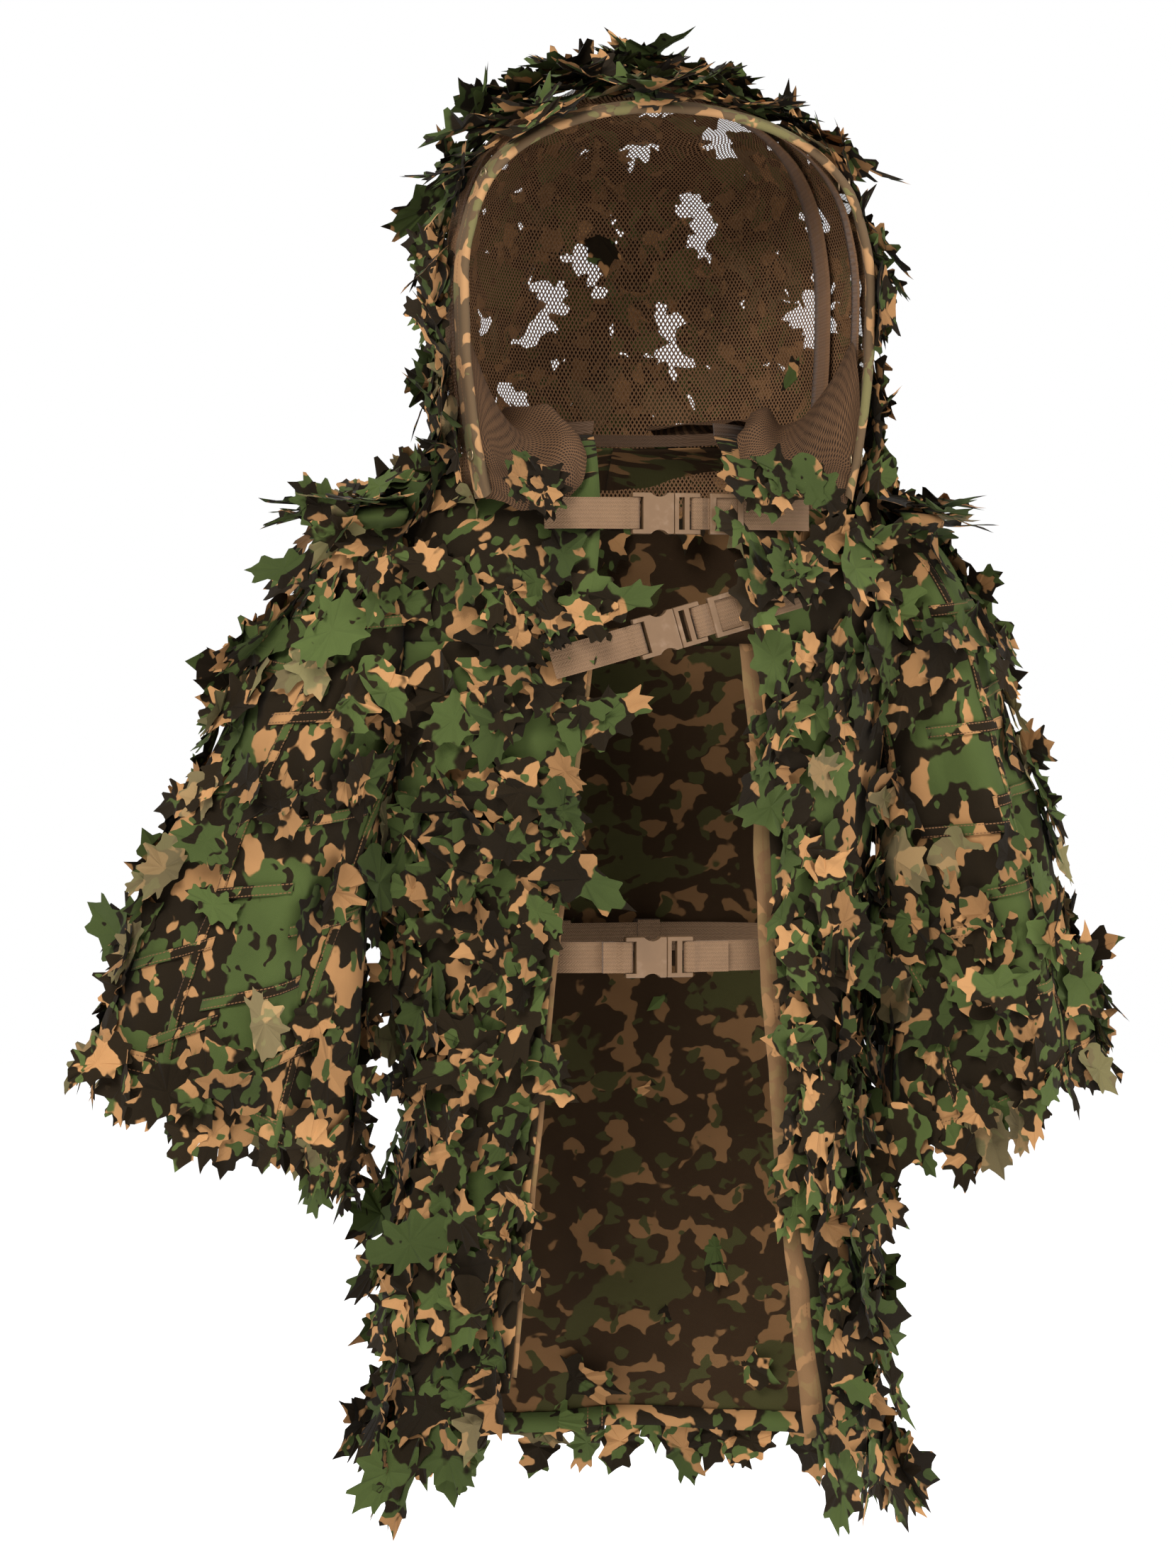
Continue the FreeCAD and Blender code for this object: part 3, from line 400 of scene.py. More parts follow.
def spans(place, count=14):
    """Widths of a sheet's rows and its mean length."""
    shares = [step / count for step in range(count + 1)]
    grid = [[place(u, v) for u in shares] for v in shares]
    widths = [sum((a - b).length for a, b in zip(row, row[1:])) for row in grid]
    lengths = [sum((a[column] - b[column]).length for a,
                   b in zip(grid, grid[1:])) for column in range(count + 1)]
    return shares, widths, sum(lengths) / len(lengths)


def lay(bm, across, along, place, shift=(0.0, 0.0)):
    """Add a sheet of cloth to a bmesh: a grid laid on a surface, with its print in metres."""
    uv = bm.loops.layers.uv.get("UVMap") or bm.loops.layers.uv.new("UVMap")
    shares, widths, length = spans(place)
    made = bmesh.ops.create_grid(bm, x_segments=across, y_segments=along, size=0.5, calc_uvs=True)["verts"]
    flat = {vert: (vert.co.x + 0.5, vert.co.y + 0.5) for vert in made}
    for vert, (u, v) in flat.items():
        vert.co = place(u, v)
    for face in {face for vert in made for face in vert.link_faces}:
        for loop in face.loops:
            u, v = flat[loop.vert]
            loop[uv].uv = ((u - 0.5) * np.interp(v, shares, widths) + shift[0], v * length + shift[1])
    return made


def face_outwards(bm, heart):
    """Turn every face of an open sheet away from the form's heart line."""
    total = sum(face.normal.dot(face.calc_center_median() - heart(face.calc_center_median()))
                for face in bm.faces)
    if total < 0:
        bmesh.ops.reverse_faces(bm, faces=bm.faces)


def settle(name, bm, materials, heart=None, wall=0.0, levels=0, smooth=True):
    """Finish a bmesh as a piece of the jacket."""
    bm.normal_update()
    if heart:
        face_outwards(bm, heart)
    mesh = bpy.data.meshes.new(name)
    bm.to_mesh(mesh)
    bm.free()
    piece = bpy.data.objects.new(name, mesh)
    bpy.context.scene.collection.objects.link(piece)
    for material in materials:
        mesh.materials.append(material)
    if smooth:
        mesh.shade_smooth()
    if levels:
        rounding = piece.modifiers.new("Rounding", "SUBSURF")
        rounding.levels = levels
        rounding.render_levels = levels
    if wall:
        thickness = piece.modifiers.new("Thickness", "SOLIDIFY")
        thickness.thickness = wall
        thickness.offset = -1
        thickness.material_offset = 1 if len(materials) > 1 else 0
    return piece


def coat_heart(point):
    return Vector((0, 0, min(point.z, -0.10)))


def hood_heart(point):
    return Vector((0, -0.03, 0.10))


def sleeve_heart(sign):
    def heart(point):
        return Vector((sign * max(SLEEVES[sign].at(point.z)[2], 0.24), 0, min(point.z, -0.08)))
    return heart


def drop_armhole(bm):
    """Take out the faces that only close the armhole's plane."""
    shut = [face for face in bm.faces if all(abs(abs(vert.co.x) - ARM_PLANE) < 1e-5 for vert in face.verts)]
    bmesh.ops.delete(bm, geom=shut, context="FACES")


def sheet_piece(name, place, across, along, materials, heart, node_names, body,
                wall=CLOTH_WALL, shift=(0.0, 0.0), bend=None, extras=(), hollow=True):
    """One cloth panel: laid, declared, and riding or bending with its bodies."""
    bm = bmesh.new()
    lay(bm, across, along, place, shift)
    if hollow:
        drop_armhole(bm)
    bmesh.ops.remove_doubles(bm, verts=bm.verts, dist=1e-5)
    area = sum(face.calc_area() for face in bm.faces)
    piece = settle(name, bm, materials, heart, wall)
    _, widths, length = spans(place)
    width = max(widths)
    list(extras)
    if node_names:
        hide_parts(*node_names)
    place_on(piece, body, bend)
    return piece


def place_on(piece, body, bend=None):
    """Ride on a body, or bend between two where the cloth crosses a joint."""
    if bend:
        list(bend)
        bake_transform(piece)
    else:
        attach(piece, body)


def arm_bend(sign):
    """A sleeve gives on a slant, from the armpit outwards, so that its armhole stays with the coat."""
    side = "right" if sign < 0 else "left"
    return ("root", side + "_sleeve", (sign * ARM_PLANE, 0, ARMPIT), (sign * ELBOW_X, 0, ELBOW_LEVEL))


HOOD_BEND = ("root", "hood", (0, 0, -0.030), (0, 0, 0.110))


# --- materials ---------------------------------------------------------------------------

def feed(tree, node, inputs):
    """Feed a node's inputs from sockets or values."""
    for name, source in inputs.items():
        if isinstance(source, bpy.types.NodeSocket):
            tree.links.new(source, node.inputs[name])
        else:
            node.inputs[name].default_value = source


def put(tree, kind, inputs=None, **settings):
    """Add a node, set it up and feed its inputs from sockets or values."""
    made = tree.nodes.new(kind)
    for name, value in settings.items():
        setattr(made, name, value)
    feed(tree, made, inputs or {})
    return made


def clouds(tree, place, scale, detail, roughness=0.5):
    """A noise texture over a place."""
    inputs = {"Vector": place, "Scale": scale, "Detail": detail, "Roughness": roughness}
    return put(tree, "ShaderNodeTexNoise", inputs)


def cloth_map(tree):
    """Where a point lies on its cloth, in metres."""
    return put(tree, "ShaderNodeUVMap", uv_map="UVMap").outputs[0]


def spot_on(tree):
    """Where a point lies in its piece."""
    return put(tree, "ShaderNodeTexCoord").outputs["Object"]


def maths(tree, operation, *terms):
    inputs = {number: term for number, term in enumerate(terms)}
    return put(tree, "ShaderNodeMath", inputs, operation=operation).outputs[0]


def blended(tree, share, first, second, kind="MIX"):
    """A colour between two colours."""
    mix = put(tree, "ShaderNodeMix", data_type="RGBA", blend_type=kind)
    feed(tree, mix, {0: share, 6: first, 7: second})
    return mix.outputs[2]


def step(tree, value, middle, soft):
    """A mask that turns from 0 to 1 as the value passes a middle."""
    inputs = {"Value": value, "From Min": middle - soft, "From Max": middle + soft}
    return put(tree, "ShaderNodeMapRange", inputs, interpolation_type="SMOOTHSTEP").outputs[0]


def group(name, inputs, outputs, fill):
    """A shared effect with named inputs and outputs."""
    tree = bpy.data.node_groups.new(name, "ShaderNodeTree")
    for direction, sockets in (("INPUT", inputs), ("OUTPUT", outputs)):
        for label, kind, default in sockets:
            socket = tree.interface.new_socket(name=label, in_out=direction, socket_type="NodeSocket" + kind)
            if default is not None:
                socket.default_value = default
    entry, exit_node = tree.nodes.new("NodeGroupInput"), tree.nodes.new("NodeGroupOutput")
    for label, socket in fill(tree, entry.outputs).items():
        tree.links.new(socket, exit_node.inputs[label])
    return tree


def fill_camouflage(tree, given):
    place = given["Vector"]
    jitter = clouds(tree, place, 48.0, 2.0)
    centred = put(tree, "ShaderNodeVectorMath", {0: jitter.outputs["Color"], 1: (0.5, 0.5, 0.5)},
                  operation="SUBTRACT").outputs[0]
    small = put(tree, "ShaderNodeVectorMath", {0: centred, "Scale": 0.022}, operation="SCALE").outputs[0]
    bent = put(tree, "ShaderNodeVectorMath", {0: place, 1: small}, operation="ADD").outputs[0]
    zones = clouds(tree, bent, 11.0, 2.0)
    blots = clouds(tree, bent, 38.0, 1.0, 0.45)
    aside = put(tree, "ShaderNodeVectorMath", {0: bent, 1: (3.1, 1.7, 0.4)}, operation="ADD").outputs[0]
    dots = clouds(tree, aside, 66.0, 0.5, 0.4)
    inside = step(tree, maths(tree, "ADD", zones.outputs[0], given["Bias"]), 0.462, 0.006)
    pale = step(tree, blots.outputs[0], 0.556, 0.012)
    fleck = step(tree, dots.outputs[0], 0.635, 0.012)
    loose = step(tree, dots.outputs[0], 0.66, 0.012)
    printed = blended(tree, pale, given["Dark"], given["Tan"])
    printed = blended(tree, fleck, printed, given["Green"])
    ground = blended(tree, loose, given["Green"], given["Dark"])
    mixed = blended(tree, inside, ground, printed)
    fade = clouds(tree, place, 16.0, 4.0, 0.6)
    tone = maths(tree, "MULTIPLY_ADD", fade.outputs[0], 0.5, 0.75)
    shaded = blended(tree, 1.0, mixed, tone, "MULTIPLY")
    return {"Color": shaded}


def fill_weave(tree, given):
    parts = put(tree, "ShaderNodeSeparateXYZ", {0: given["Vector"]})
    waves = []
    for axis in ("X", "Y"):
        turn = maths(tree, "DIVIDE", parts.outputs[axis], given["Pitch"])
        waves.append(maths(tree, "SINE", maths(tree, "MULTIPLY", turn, 2 * math.pi)))
    height = maths(tree, "MULTIPLY", waves[0], waves[1])
    slub = clouds(tree, given["Vector"], 420.0, 2.0)
    return {"Height": maths(tree, "MULTIPLY_ADD", height, 0.5, slub.outputs[0]),
            "Shade": maths(tree, "MULTIPLY_ADD", height, 0.09, 0.95)}


def fill_rib(tree, given):
    """A herringbone twill, as on narrow webbing."""
    parts = put(tree, "ShaderNodeSeparateXYZ", {0: given["Vector"]})
    zigzag = maths(tree, "PINGPONG", parts.outputs["Y"], given["Rib"])
    slope = maths(tree, "ADD", parts.outputs["X"], maths(tree, "MULTIPLY", zigzag, 0.9))
    turn = maths(tree, "DIVIDE", slope, given["Pitch"])
    cord = maths(tree, "SINE", maths(tree, "MULTIPLY", turn, 2 * math.pi))
    row = maths(tree, "SINE", maths(tree, "DIVIDE", maths(tree, "MULTIPLY", parts.outputs["Y"], 2 * math.pi),
                                    given["Rib"]))
    height = maths(tree, "MULTIPLY_ADD", cord, 0.35, maths(tree, "MULTIPLY", row, 0.25))
    return {"Height": height, "Shade": maths(tree, "MULTIPLY_ADD", height, 0.22, 0.93)}


def fill_netting(tree, given):
    """Threads that cross on two slants, with holes between."""
    parts = put(tree, "ShaderNodeSeparateXYZ", {0: given["Vector"]})
    across = maths(tree, "DIVIDE", parts.outputs["X"], given["Hole"])
    along = maths(tree, "DIVIDE", parts.outputs["Y"], maths(tree, "MULTIPLY", given["Hole"], 1.35))
    threads = []
    for operation in ("ADD", "SUBTRACT"):
        turn = maths(tree, operation, across, along)
        threads.append(maths(tree, "ABSOLUTE", maths(tree, "SINE", maths(tree, "MULTIPLY", turn, math.pi))))
    near = maths(tree, "MINIMUM", threads[0], threads[1])
    return {"Thread": maths(tree, "SUBTRACT", 1.0, step(tree, near, 0.58, 0.08)),
            "Height": maths(tree, "SUBTRACT", 1.0, near)}


def fill_stitches(tree, given):
    """Two rows of short stitches, the same distance from a strip's middle."""
    parts = put(tree, "ShaderNodeSeparateXYZ", {0: given["Vector"]})
    away = maths(tree, "ABSOLUTE", parts.outputs["X"])
    off = maths(tree, "ABSOLUTE", maths(tree, "SUBTRACT", away, given["Inset"]))
    line = maths(tree, "LESS_THAN", off, 0.00045)
    dash = maths(tree, "LESS_THAN", maths(tree, "FRACT", maths(tree, "DIVIDE", parts.outputs["Y"], 0.0032)),
                 0.68)
    return {"Mask": maths(tree, "MULTIPLY", line, dash)}


def fill_scuffs(tree, given):
    """Broad mottling and fine grain of a moulded part."""
    broad = clouds(tree, given["Vector"], 70.0, 3.0, 0.6)
    fine = clouds(tree, given["Vector"], 1600.0, 2.0)
    rub = step(tree, broad.outputs[0], 0.62, 0.10)
    return {"Shade": maths(tree, "MULTIPLY_ADD", broad.outputs[0], 0.3, 0.85), "Rub": rub,
            "Height": fine.outputs[0]}


def build_groups():
    vector = ("Vector", "Vector", None)
    colours = [("Green", "Color", None), ("Dark", "Color", None), ("Tan", "Color", None),
               ("Bias", "Float", 0.0)]
    return {
        "print": group("Camouflage print", [vector] + colours, [("Color", "Color", None)], fill_camouflage),
        "weave": group("Plain weave", [vector, ("Pitch", "Float", 0.0011)],
                       [("Height", "Float", None), ("Shade", "Float", None)], fill_weave),
        "rib": group("Webbing twill", [vector, ("Pitch", "Float", 0.0018), ("Rib", "Float", 0.0031)],
                     [("Height", "Float", None), ("Shade", "Float", None)], fill_rib),
        "netting": group("Knitted netting", [vector, ("Hole", "Float", 0.0046)],
                         [("Thread", "Float", None), ("Height", "Float", None)], fill_netting),
        "stitches": group("Stitch rows", [vector, ("Inset", "Float", 0.006)], [("Mask", "Float", None)],
                          fill_stitches),
        "scuffs": group("Moulding grain", [vector],
                        [("Shade", "Float", None), ("Rub", "Float", None), ("Height", "Float", None)],
                        fill_scuffs),
    }


def new_material(name):
    material = bpy.data.materials.new(name)
    material.use_nodes = True
    tree = material.node_tree
    return material, tree, tree.nodes["Principled BSDF"]


def use(tree, effect, inputs):
    made = tree.nodes.new("ShaderNodeGroup")
    made.node_tree = effect
    feed(tree, made, inputs)
    return made.outputs


def raise_bump(tree, shader, height, distance, strength=0.5):
    bump = put(tree, "ShaderNodeBump", {"Height": height, "Distance": distance, "Strength": strength})
    tree.links.new(bump.outputs[0], shader.inputs["Normal"])


def cloth_material(name, looks, groups, bias=0.0, dim=1.0, toward=None, share=0.0, leaves=False, inset=None):
    """Printed cloth: the print, its weave, and for leaves their own tone and paler back."""
    material, tree, shader = new_material(name)
    place = cloth_map(tree)
    colour = use(tree, groups["print"], {"Vector": place, "Green": (*looks.green, 1),
                                         "Dark": (*looks.dark, 1),
                                         "Tan": (*looks.tan, 1), "Bias": bias})["Color"]
    woven = use(tree, groups["weave"], {"Vector": place, "Pitch": 0.0011})
    if toward:
        colour = blended(tree, share, colour, (*toward, 1))
    if leaves:
        flipped = put(tree, "ShaderNodeAttribute", attribute_name="flipped").outputs["Fac"]
        paler = blended(tree, 0.62, colour, (*looks.reverse, 1))
        colour = blended(tree, flipped, colour, paler)
        tone = put(tree, "ShaderNodeAttribute", attribute_name="tone").outputs["Fac"]
        colour = blended(tree, 1.0, colour, maths(tree, "MULTIPLY_ADD", tone, 0.7, 0.62), "MULTIPLY")
    if inset:
        rows = use(tree, groups["stitches"], {"Vector": place, "Inset": inset})["Mask"]
        colour = blended(tree, rows, colour, (*looks.thread, 1))
    shade = maths(tree, "MULTIPLY", woven["Shade"], dim)
    tree.links.new(blended(tree, 1.0, colour, shade, "MULTIPLY"), shader.inputs["Base Color"])
    shader.inputs["Roughness"].default_value = 0.9
    shader.inputs["Specular IOR Level"].default_value = 0.12
    shader.inputs["Sheen Weight"].default_value = 0.02
    raise_bump(tree, shader, woven["Height"], 0.0003, 0.6)
    return material


def netting_material(name, looks, groups, dim=1.0, painted_shade_in_holes=False):
    """Brown netting; where it lies doubled its holes show dark instead of open."""
    material, tree, shader = new_material(name)
    place = cloth_map(tree)
    net = use(tree, groups["netting"], {"Vector": place, "Hole": looks.net_hole})
    cloud = clouds(tree, place, 22.0, 4.0)
    # a dim below 1 darkens the whole netting; on the cowl this is painted shade
    tone = maths(tree, "MULTIPLY_ADD", cloud.outputs[0], 0.8 * dim, 0.6 * dim)
    colour = blended(tree, 1.0, (*looks.netting, 1), tone, "MULTIPLY")
    if painted_shade_in_holes:
        # painted shade: the holes take a near-black copy of the netting's colour instead of being cut open
        shaded = blended(tree, 1.0, colour, (0.16, 0.15, 0.14, 1), "MULTIPLY")
        colour = blended(tree, net["Thread"], shaded, colour)
    else:
        tree.links.new(net["Thread"], shader.inputs["Alpha"])
    tree.links.new(colour, shader.inputs["Base Color"])
    shader.inputs["Roughness"].default_value = 0.8
    shader.inputs["Specular IOR Level"].default_value = 0.25
    raise_bump(tree, shader, net["Height"], 0.0006, 0.7)
    return material


def strap_material(name, colour, groups, own_map=False, turn=0.0):
    """Brown twill webbing, read along its own map or from where it lies."""
    material, tree, shader = new_material(name)
    if own_map:
        place = cloth_map(tree)
    else:
        spot = spot_on(tree)
        level = put(tree, "ShaderNodeMapping", {"Vector": spot, "Rotation": (0, turn, 0)}).outputs[0]
        parts = put(tree, "ShaderNodeSeparateXYZ", {0: level})
        along = maths(tree, "ADD", parts.outputs["X"], parts.outputs["Y"])
        place = put(tree, "ShaderNodeCombineXYZ", {0: along, 1: parts.outputs["Z"]}).outputs[0]
    rib = use(tree, groups["rib"], {"Vector": place})
    cloud = clouds(tree, place, 60.0, 5.0, 0.65)
    tone = maths(tree, "MULTIPLY", maths(tree, "MULTIPLY_ADD", cloud.outputs[0], 0.4, 0.8), rib["Shade"])
    tree.links.new(blended(tree, 1.0, (*colour, 1), tone, "MULTIPLY"), shader.inputs["Base Color"])
    shader.inputs["Roughness"].default_value = 0.72
    shader.inputs["Specular IOR Level"].default_value = 0.3
    shader.inputs["Sheen Weight"].default_value = 0.1
    raise_bump(tree, shader, rib["Height"], 0.0005, 0.8)
    return material


def plastic_material(looks, groups):
    material, tree, shader = new_material("Brown moulded plastic")
    spot = spot_on(tree)
    scuffs = use(tree, groups["scuffs"], {"Vector": spot})
    base = blended(tree, 1.0, (*looks.plastic, 1), scuffs["Shade"], "MULTIPLY")
    rubbed = blended(tree, maths(tree, "MULTIPLY", scuffs["Rub"], 0.18), base, (0.42, 0.29, 0.20, 1))
    tree.links.new(rubbed, shader.inputs["Base Color"])
    tree.links.new(maths(tree, "MULTIPLY_ADD", scuffs["Rub"], 0.15, 0.40), shader.inputs["Roughness"])
    raise_bump(tree, shader, scuffs["Height"], 0.0001, 0.35)
    return material


def metal_material(groups):
    material, tree, shader = new_material("Dull brass")
    spot = spot_on(tree)
    scuffs = use(tree, groups["scuffs"], {"Vector": spot})
    tree.links.new(blended(tree, 1.0, (0.33, 0.24, 0.14, 1), scuffs["Shade"], "MULTIPLY"),
                   shader.inputs["Base Color"])
    tree.links.new(maths(tree, "MULTIPLY_ADD", scuffs["Rub"], 0.2, 0.38), shader.inputs["Roughness"])
    shader.inputs["Metallic"].default_value = 0.85
    return material


def floor_material():
    material, tree, shader = new_material("Pale floor")
    spot = spot_on(tree)
    cloud = clouds(tree, spot, 3.0, 3.0)
    tone = maths(tree, "MULTIPLY_ADD", cloud.outputs[0], 0.02, 0.92)
    tree.links.new(blended(tree, 1.0, (1, 1, 1, 1), tone, "MULTIPLY"), shader.inputs["Base Color"])
    shader.inputs["Roughness"].default_value = 0.9
    shader.inputs["Emission Color"].default_value = (1, 1, 1, 1)
    shader.inputs["Emission Strength"].default_value = 0.55
    return material


def build_materials(looks):
    """Every finish of the jacket, by a short name."""
    groups = build_groups()
    return {
        "outer": cloth_material("Printed cloth", looks, groups),
        "lining": cloth_material("Printed cloth inside", looks, groups, 0.05, 0.62, (0.10, 0.050, 0.020),
                                 0.42),
        "facing": cloth_material("Ochre facing", looks, groups, 0.06, 0.95, (0.30, 0.165, 0.075), 0.72,
                                 inset=0.0155),
        "tape": cloth_material("Printed tape", looks, groups, 0.0, 1.0, None, 0.0, inset=0.0062),
        "band": cloth_material("Foliage band", looks, groups, -0.03, 1.05, None, 0.0, inset=0.0036),
        "rim": cloth_material("Hood binding", looks, groups, 0.06, 1.1, (0.38, 0.24, 0.13), 0.28,
                              inset=0.0125),
        "leaf": cloth_material("Leaf cloth", looks, groups, 0.02, 1.0, leaves=True),
        "netting": netting_material("Brown netting", looks, groups),
        # painted shade: the cowl is the hood's netting dimmed to 0.72, with its holes painted dark
        "cowl": netting_material("Soft brown netting with painted shade", looks, groups, 0.72, painted_shade_in_holes=True),
        "neck_tape": strap_material("Neck binding", tuple(0.45 * part for part in looks.netting), groups),
        "seam_strip": strap_material("Netting seam tape", looks.netting, groups, own_map=True),
        "webbing": strap_material("Brown webbing", looks.webbing, groups),
        "slanted_webbing": strap_material("Slanted webbing", looks.webbing, groups, turn=math.radians(16)),
        "plastic": plastic_material(looks, groups),
        "metal": metal_material(groups),
    }


stock = {}


# --- coat --------------------------------------------------------------------------------

def strip_piece(name, places, across, along, material, heart, body, bend=None, wall=TAPE_WALL,
                node_names=()):
    """One or more tapes joined in a piece of their own."""
    bm = bmesh.new()
    for number, place in enumerate(places):
        lay(bm, across, along, place, (0.0, 0.37 * number))
    drop_armhole(bm)
    piece = settle(name, bm, [stock[material]], heart, wall)
    if node_names:
        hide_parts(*node_names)
    place_on(piece, body, bend)
    return piece


def make_coat(_looks):
    """Back, fronts, shoulders, facings and hem tapes."""
    cloth = [stock["outer"], stock["lining"]]
    hem = strip_piece("back_hem_tape_cloth", [hem_place(back_place)], 64, 2, "tape",
                      coat_heart, "root",
                      node_names=["back_hem_tape"])
    inner_hem = strip_piece("back_hem_tape_inside", [hem_place(back_place, -0.0022)], 64, 2,
                            "tape", coat_heart, "root")
    sheet_piece("back_cloth", back_place, 72, 84, cloth, coat_heart, ["back_panel"],
                "root",
                shift=(0.4, 0.1), extras=[hem, inner_hem])
    for side, sign in SIDES.items():
        front = front_place(sign)
        hem = strip_piece(side + "_front_hem_tape_cloth", [hem_place(front)], 20, 2, "tape",
                          coat_heart,
                          "root", node_names=[side + "_front_hem_tape"])
        facing = strip_piece(side + "_facing_cloth", [facing_place(sign)], 5, 84, "facing",
                             coat_heart, "root", node_names=[side + "_facing"])
        sheet_piece(side + "_front_cloth", front, 24, 84, cloth, coat_heart,
                    [side + "_front_panel"], "root", shift=(1.3 + sign, 0.6), extras=[hem, facing])
        sheet_piece(side + "_shoulder_cloth", yoke_place(sign), 64, 26, cloth, coat_heart,
                    [side + "_shoulder_panel"], "root", shift=(2.1 + sign, 1.9))
    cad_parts["neck_binding"].data.materials.clear()
    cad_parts["neck_binding"].data.materials.append(stock["neck_tape"])


# --- sleeves -----------------------------------------------------------------------------

# Bands on a sleeve: turn in degrees, level, half-length in metres and slant.
BANDS = {
    -1: [(62, -0.118, 0.034, 0.10), (118, -0.128, 0.030, 0.10), (35, -0.165, 0.036, -0.15),
         (84, -0.205, 0.044, 0.05),
         (50, -0.262, 0.036, 0.05), (112, -0.285, 0.036, 0.12), (70, -0.345, 0.040, 0.10),
         (120, -0.370, 0.036, 0.16),
         (42, -0.395, 0.034, 0.30), (88, -0.425, 0.040, 0.22), (58, -0.455, 0.030, 0.35),
         (118, -0.470, 0.036, 0.3),
         (200, -0.20, 0.05, 0.0), (240, -0.30, 0.06, 0.0), (290, -0.25, 0.05, 0.0), (270, -0.40, 0.06, 0.1),
         (310, -0.35, 0.05, 0.1)],
    1: [(60, -0.115, 0.034, -0.12), (110, -0.130, 0.030, 0.05), (42, -0.180, 0.034, -0.25),
        (84, -0.215, 0.040, -0.12),
        (55, -0.270, 0.034, -0.20), (108, -0.300, 0.036, -0.1), (70, -0.345, 0.036, -0.22),
        (120, -0.385, 0.030, -0.2),
        (44, -0.400, 0.034, -0.3), (86, -0.435, 0.036, -0.25), (240, -0.30, 0.06, 0.0),
        (290, -0.22, 0.05, 0.0),
        (270, -0.40, 0.06, -0.1), (310, -0.33, 0.05, -0.1)],
}


def band_place(sign, degrees, level, half, slant, width=0.0095):
    """A narrow band round part of a sleeve; v runs along it and u across it."""
    def place(u, v, out=0.0):
        across = SLEEVES[sign].at(level)[0]
        run = (v - 0.5) * 2 * half
        bow = 0.0016 * math.sin(math.pi * v)
        turn = math.radians(degrees) + run / across
        return sleeve_point(sign, turn, level + slant * run + (u - 0.5) * width, out + 0.0016 + bow)
    return place


def ridge_place(sign, inset, width=0.009):
    """The felled seam that runs down the front of a sleeve, beside its outer edge."""
    def place(u, v, out=0.0):
        across_low = SLEEVES[sign].at(-0.40)[0]
        turn_low = math.acos(1 - inset / across_low)
        level = SLEEVES[sign].level_between(sleeve_level_low(sign, turn_low), -0.070, v)
        across = SLEEVES[sign].at(level)[0]
        turn = math.acos(max(1 - inset / across, -0.9)) + (u - 0.5) * width / across
        crown = 0.0016 * math.sin(math.pi * u)
        return sleeve_point(sign, turn, level, out + 0.0008 + crown)
    return place


def cuff_place(sign, lift):
    """A tape round the sleeve's hem."""
    def place(u, v, out=0.0):
        turn = v * 2 * math.pi
        level = sleeve_level_low(sign, turn) + u * TAPE_WIDTH
        return sleeve_point(sign, turn, level, lift + out)
    return place


def make_sleeves(_looks):
    """Front and back cloth of both sleeves, with their cuffs, bands and seams."""
    cloth = [stock["outer"], stock["lining"]]
    for side, sign in SIDES.items():
        body, bend, heart = side + "_sleeve", arm_bend(sign), sleeve_heart(sign)
        bands = strip_piece(side + "_sleeve_bands", [band_place(sign, *band) for band in BANDS[sign]], 2, 8,
                            "band",
                            heart, body, bend, node_names=[side + "_sleeve_loops"])
        ridges = strip_piece(side + "_sleeve_seams", [ridge_place(sign, 0.040), ridge_place(sign, 0.150)], 4,
                             90, "band",
                             heart, body, bend)
        cuff = strip_piece(side + "_cuff_cloth", [cuff_place(sign, lift) for lift in (0.0016, -0.0030)],
                           2, 96, "tape", heart, body, bend, node_names=[side + "_cuff_tape"])
        sheet_piece(side + "_sleeve_front_cloth", sleeve_place(sign, "front"), 40, 70, cloth,
                    heart,
                    [side + "_sleeve_front"], body, shift=(3.1 + 0.7 * sign, 0.3), bend=bend,
                    extras=[bands, ridges, cuff])
        sheet_piece(side + "_sleeve_back_cloth", sleeve_place(sign, "back"), 56, 70, cloth,
                    heart,
                    [side + "_sleeve_back"], body, shift=(4.3 + 0.7 * sign, 0.9), bend=bend)


# --- hood --------------------------------------------------------------------------------

def make_hood(_looks):
    """Netting panels, seam tapes, the soft cowl at the neck and the bound rim with its eyelets."""
    shares = {"right": (0.62, 1.0), "centre": (0.38, 0.62), "left": (0.0, 0.38)}
    seams = strip_piece("hood_seam_tapes", [arch_strip_place(depth, 0.024) for depth in (-0.088, -0.018)], 3,
                        90,
                        "seam_strip", hood_heart, "hood", HOOD_BEND)
    for part, (start, end) in shares.items():
        across, extras = (34, [seams]) if part == "centre" else (56, ())
        sheet_piece("hood_" + part + "_netting", hood_place(start, end), across, 76, [stock["netting"]],
                    hood_heart, ["hood_" + part + "_panel"], "hood", wall=0.0, shift=(start * 3, 0.0),
                    bend=HOOD_BEND, extras=extras, hollow=False)
    for side, sign in SIDES.items():
        sheet_piece(side + "_cowl_netting", cowl_place(sign), 64, 24, [stock["cowl"]],
                    lambda point: Vector((0, 0, -1)), [], "hood", wall=0.0, bend=HOOD_BEND,
                    hollow=False)
    bm = bmesh.new()
    lay(bm, 16, 120, rim_place)
    rim = settle("hood_rim", bm, [stock["rim"]], hood_heart, 0.0)
    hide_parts("hood_binding")
    place_on(rim, "hood", HOOD_BEND)
    make_eyelets()


# One face of an eyelet, from its hole outwards.
EYELET_PROFILE = [(0.0032, 0, 0.0006), (0.0042, 0, 0.0014), (0.0053, 0, 0.0)]
EYELET_LEVELS = (0.226, 0.003)
EYELET_DEPTH = -0.122


